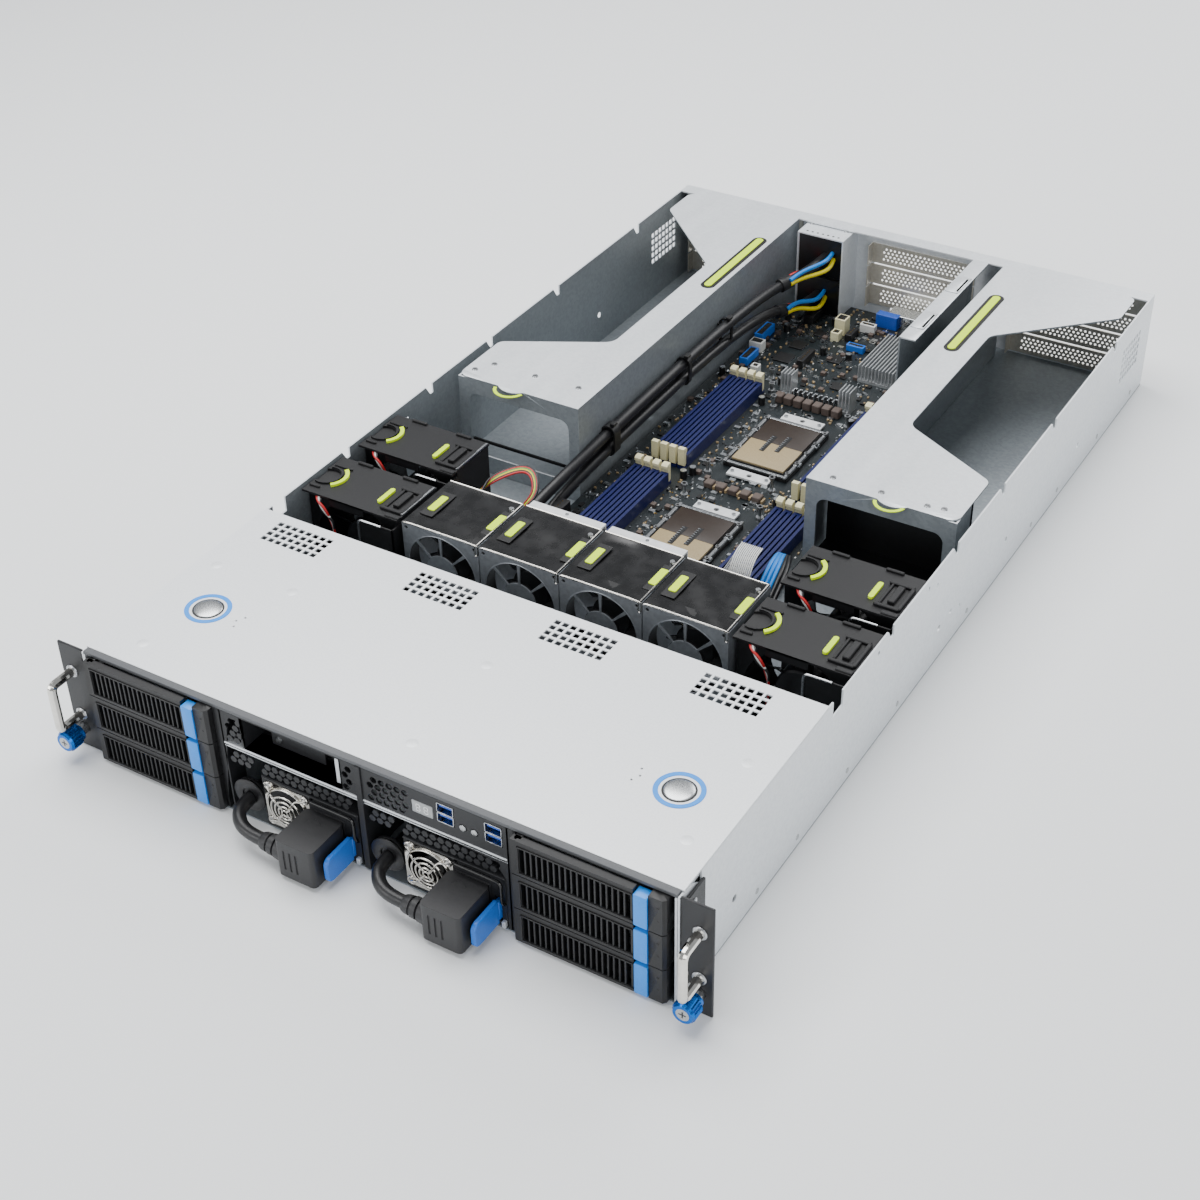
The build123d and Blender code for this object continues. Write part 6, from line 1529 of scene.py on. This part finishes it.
    def scatter(self, piece):
        """Small parts fill the free board: capacitors, resistors, cans, crystals and packages."""
        taken = [(-27, 39, 340, 446), (-27, 39, 488, 596), (-80, -43, 306, 634), (47, 84, 306, 634),
                 (-34, 36, 604, 638), (13, 64, 671, 737), (-97, -44, 762, 790), (-97, -84, 300, 345),
                 (60, 88, 302, 318), (-66, -46, 668, 713), (-14, 30, 764, 790)]
        kinds = (("ceramic", 2.0, 1.2, 1.2), ("ceramic", 1.2, 2.0, 1.3), ("chip", 1.8, 0.9, 0.6),
                 ("tin", 1.6, 0.8, 0.7), ("chip", 4.2, 3.6, 1.1), ("white", 0.8, 1.6, 0.6),
                 ("tin", 5.0, 3.2, 1.6), ("ferrite", 4.0, 4.0, 2.8), ("chip", 3.0, 5.0, 1.3),
                 ("gold", 1.0, 1.0, 0.3), ("tin", 0.8, 2.4, 2.0))
        # How often each kind is drawn, by its place in the list
        shares = (0, 0, 1, 1, 2, 2, 3, 3, 3, 3, 3, 4, 5, 6, 6, 7, 8, 9, 10, 10, 10)
        dice = random.Random(SCATTER_SEED)
        for _ in range(SCATTER_DRAWS):
            x, depth = dice.uniform(-95.5, 86.0), dice.uniform(302.0, 786.0)
            key, width, length, height = kinds[dice.choice(shares)]
            if any(a < x < b and c < depth < d for a, b, c, d in taken):
                continue
            piece.block((x, x + width), (depth, depth + length), (BOARD_TOP - 0.05, BOARD_TOP + height), key)
        for x, depth in ((-34, 350), (-34, 364), (-40, 470), (42, 470), (-38, 600), (42, 602), (-90, 628),
                         (-38, 636), (66, 642), (84, 646), (-76, 722), (-84, 740), (-30, 700), (-6, 700),
                         (-44, 752), (70, 742), (80, 770), (-36, 478), (44, 330), (42, 348), (-36, 318)):
            piece.upright(x, depth, (BOARD_TOP, BOARD_TOP + 7.0), 2.9, 2.8, sides=16, finish="chip")
            piece.upright(x, depth, (BOARD_TOP + 6.9, BOARD_TOP + 7.4), 2.5, sides=16, finish="tin")
        for x, depth, height in ((-49, 640, 11), (-40, 622, 9), (29.6, 486, 14), (-27, 448, 12),
                                 (39, 448, 12), (-27, 486, 12), (-27, 600, 12), (40, 600, 12), (-26, 340, 10),
                                 (39, 340, 10)):
            foot = at(x, depth, BOARD_TOP)
            top = at(x, depth, BOARD_TOP + height)
            piece.rod(foot, top, 1.5, sides=16, finish="steel")
            piece.rod(foot, at(x, depth, BOARD_TOP + 2.4), 3.4, 3.0, finish="steel")
            piece.rod(at(x, depth, BOARD_TOP + height - 1.6), top, 2.5, finish="steel")

    def socket(self, number, front):
        """One processor socket: a black base, riveted rails and a two-coloured carrier with slots."""
        piece = Piece("black_nylon")
        left, right, rear, middle = -22.0, 34.0, front + 77.0, front + 38.5
        piece.block((left, right), (front, rear), (BOARD_TOP, 13.3), bevel=0.4)
        for x in (left + 1.5, right - 1.5):
            piece.blocks((about(x, 1.3), (front - 1.0, rear + 1.0), (13.2, 15.3), "steel", 0.35),
                         (about(x, 2.6), (front + 20.0, front + 26.0), (12.6, 14.6), "tin", 0.3),
                         (about(x, 2.6), (front + 52.0, front + 58.0), (12.6, 14.6), "tin", 0.3))
            for index in range(5):
                depth = front + 5.0 + index * 16.75
                piece.upright(x, depth, (15.1, 16.4), 2.1, 1.8, finish="steel")
                piece.upright(x, depth, (16.3, 16.5), 1.1, sides=12, finish="chip")
        for depth in (front + 1.2, rear - 1.2):
            piece.block((left + 3.0, right - 3.0), about(depth, 1.2), (13.2, 14.6), "tin", bevel=0.3)
        piece.blocks(((left + 4.6, right - 4.6), (front + 4.0, rear - 4.0), (13.2, 14.4), "chip"),
                     ((left + 5.2, right - 5.2), (front + 5.0, middle - 0.1), (14.3, 16.2), "carrier_light",
                      0.35, 2),
                     ((left + 5.2, right - 5.2), (middle + 0.1, rear - 5.0), (14.3, 16.2), "carrier_dark",
                      0.35, 2))
        for slot_x, shift in ((-0.5, -2.0), (11.0, 2.0)):
            piece.block(about(slot_x, 2.0), about(middle + shift, 12.5), (15.0, 16.35), "chip")
            for index in range(9):
                depth = middle + shift - 10.8 + index * 2.7
                piece.block((slot_x - 2.2, slot_x - 0.2), about(depth, 0.4), (15.9, 16.6), "tin")
        for depth in (front - 8.5, rear + 8.5):
            piece.sheet(facing_up(BOARD_TOP + 3.2), rectangle(-12.0, 24.0, depth - 5.0, depth + 5.0),
                        [(6.0, depth, 2.2, 16, 0)], 1.6, "bright_sheet")
            piece.upright(6.0, depth, (BOARD_TOP, BOARD_TOP + 1.8), 2.2, sides=16, finish="chip")
            for x in (-9.0, 21.0):
                piece.upright(x, depth, (BOARD_TOP, BOARD_TOP + 4.2), 1.6, sides=16, finish="steel")
        piece.finish(f"processor_socket_{number}", replaces=["cpu_sockets"] if number == 1 else (),
                     slot="socket_steel", angle=30.0)

    def memory(self):
        """The memory sockets and latches keep their shape; thin contact rows lie in the grooves."""
        give("dimm_blue", "dimm_sockets")
        give("cream", *[f"dimm_latches_{n}" for n in (1, 2, 3, 4)])
        piece = Piece("chip")
        for front in (321.0, 480.0):
            for middle_x in (-72.0, -64.0, -56.0, -48.0, 52.0, 60.0, 68.0, 76.0):
                piece.blocks((about(middle_x, 0.75), (front + 8.0, front + 130.0), (13.2, 18.0)),
                             ((middle_x - 4.15, middle_x - 3.3), (front + 5.0, front + 133.0), (9.7, 19.6)))
        piece.finish("memory_contacts", slot="socket_blue")

    def wires(self):
        """Loose wires behind the fans and by the right riser cage."""
        for index, finish in enumerate(("red_wire", "rubber", "yellow_wire", "green_wire", "red_wire",
                                        "rubber")):
            swell = 1.0 + 0.09 * index
            small_cord(f"left_fan_wire_{index + 1}",
                       ((-124.0 + index * 1.6, 286.5, 58.0), (-124.0 + index * 1.6, 302.0, 62.0 + index),
                        (-99.0 - 14.0 * swell, 322.0, 66.0 + 4.0 * swell),
                        (-97.0, 324.0 + 14.0 * swell, 68.0 + 6.0 * swell),
                        (-95.0 + 11.0 * swell, 326.0, 66.0), (-95.0 + 6.0 * swell, 314.0 - index, 56.0),
                        (-97.0 + index, 317.0, 40.0), (-93.5 + index, 324.0, 27.0),
                        (-93.5 + index, 324.0, 18.0)), 0.9, finish)
        ribbon = Piece("white_wire")
        for index in range(12):
            shift = index * 1.4
            ribbon.tube([at(x + shift, depth, z) for x, depth,
                         z in ((64.0, 312.0, 18.4), (65.0, 316.0, 34.0), (80.0, 330.0, 66.0),
                               (89.0, 325.0, 83.0), (90.0, 306.0, 82.0), (90.0, 295.0, 60.0),
                               (90.0, 293.0, 36.0), (90.0, 286.4, 26.0))], 0.5)
        ribbon.finish("ribbon_cable", slot="cable_black")
        for index, finish in enumerate(("blue_wire", "blue_wire", "blue_wire", "rubber", "rubber")):
            shift = index * 3.4
            small_cord(f"right_riser_wire_{index + 1}",
                       ((109.0 + shift, 286.5, 44.0), (109.0 + shift, 306.0, 56.0),
                        (106.0 + shift, 330.0, 64.0), (101.0 + shift * 0.6, 356.0, 58.0),
                        (95.0 + shift * 0.4, 374.0, 34.0), (86.0 + shift * 0.3, 384.0, 18.0),
                        (84.5 + shift * 0.3, 388.0, 9.7)), 1.6, finish)


# The panel in the sidebar, and the run

STEPS = (DressCase, DressCover, DressEars, DressTrays, DressPanel, DressSupplies, DressLeads, DressFans,
         DressRisers, DressRear, DressBoard, SetStage)


class ServerPanel(bpy.types.Panel):
    """Sizes, stage settings and the steps that dress the server"""

    bl_idname = "VIEW3D_PT_rack_server"
    bl_label = "Rack Server"
    bl_space_type = "VIEW_3D"
    bl_region_type = "UI"
    bl_category = "Rack Server"

    def draw(self, context):
        layout = self.layout
        for group in (context.scene.server_sizes, context.scene.server_stage):
            box = layout.box()
            for name in group.__annotations__:
                box.prop(group, name)
        column = layout.column(align=True)
        for step in STEPS:
            column.operator(step.bl_idname)


CLASSES = (ServerSizes, ServerStage, *STEPS, ServerPanel)


def register():
    """Add the classes and the scene's two groups of settings."""
    for cls in CLASSES:
        bpy.utils.register_class(cls)
    bpy.types.Scene.server_sizes = bpy.props.PointerProperty(type=ServerSizes)
    bpy.types.Scene.server_stage = bpy.props.PointerProperty(type=ServerStage)


def unregister():
    """Take the settings and the classes away again."""
    del bpy.types.Scene.server_stage
    del bpy.types.Scene.server_sizes
    for cls in reversed(CLASSES):
        bpy.utils.unregister_class(cls)


def main():
    """Dress the whole server."""
    register()
    make_finishes()
    for step in STEPS:
        group, name = step.bl_idname.split(".")
        getattr(getattr(bpy.ops, group), name)()


if __name__ == "__main__":
    main()
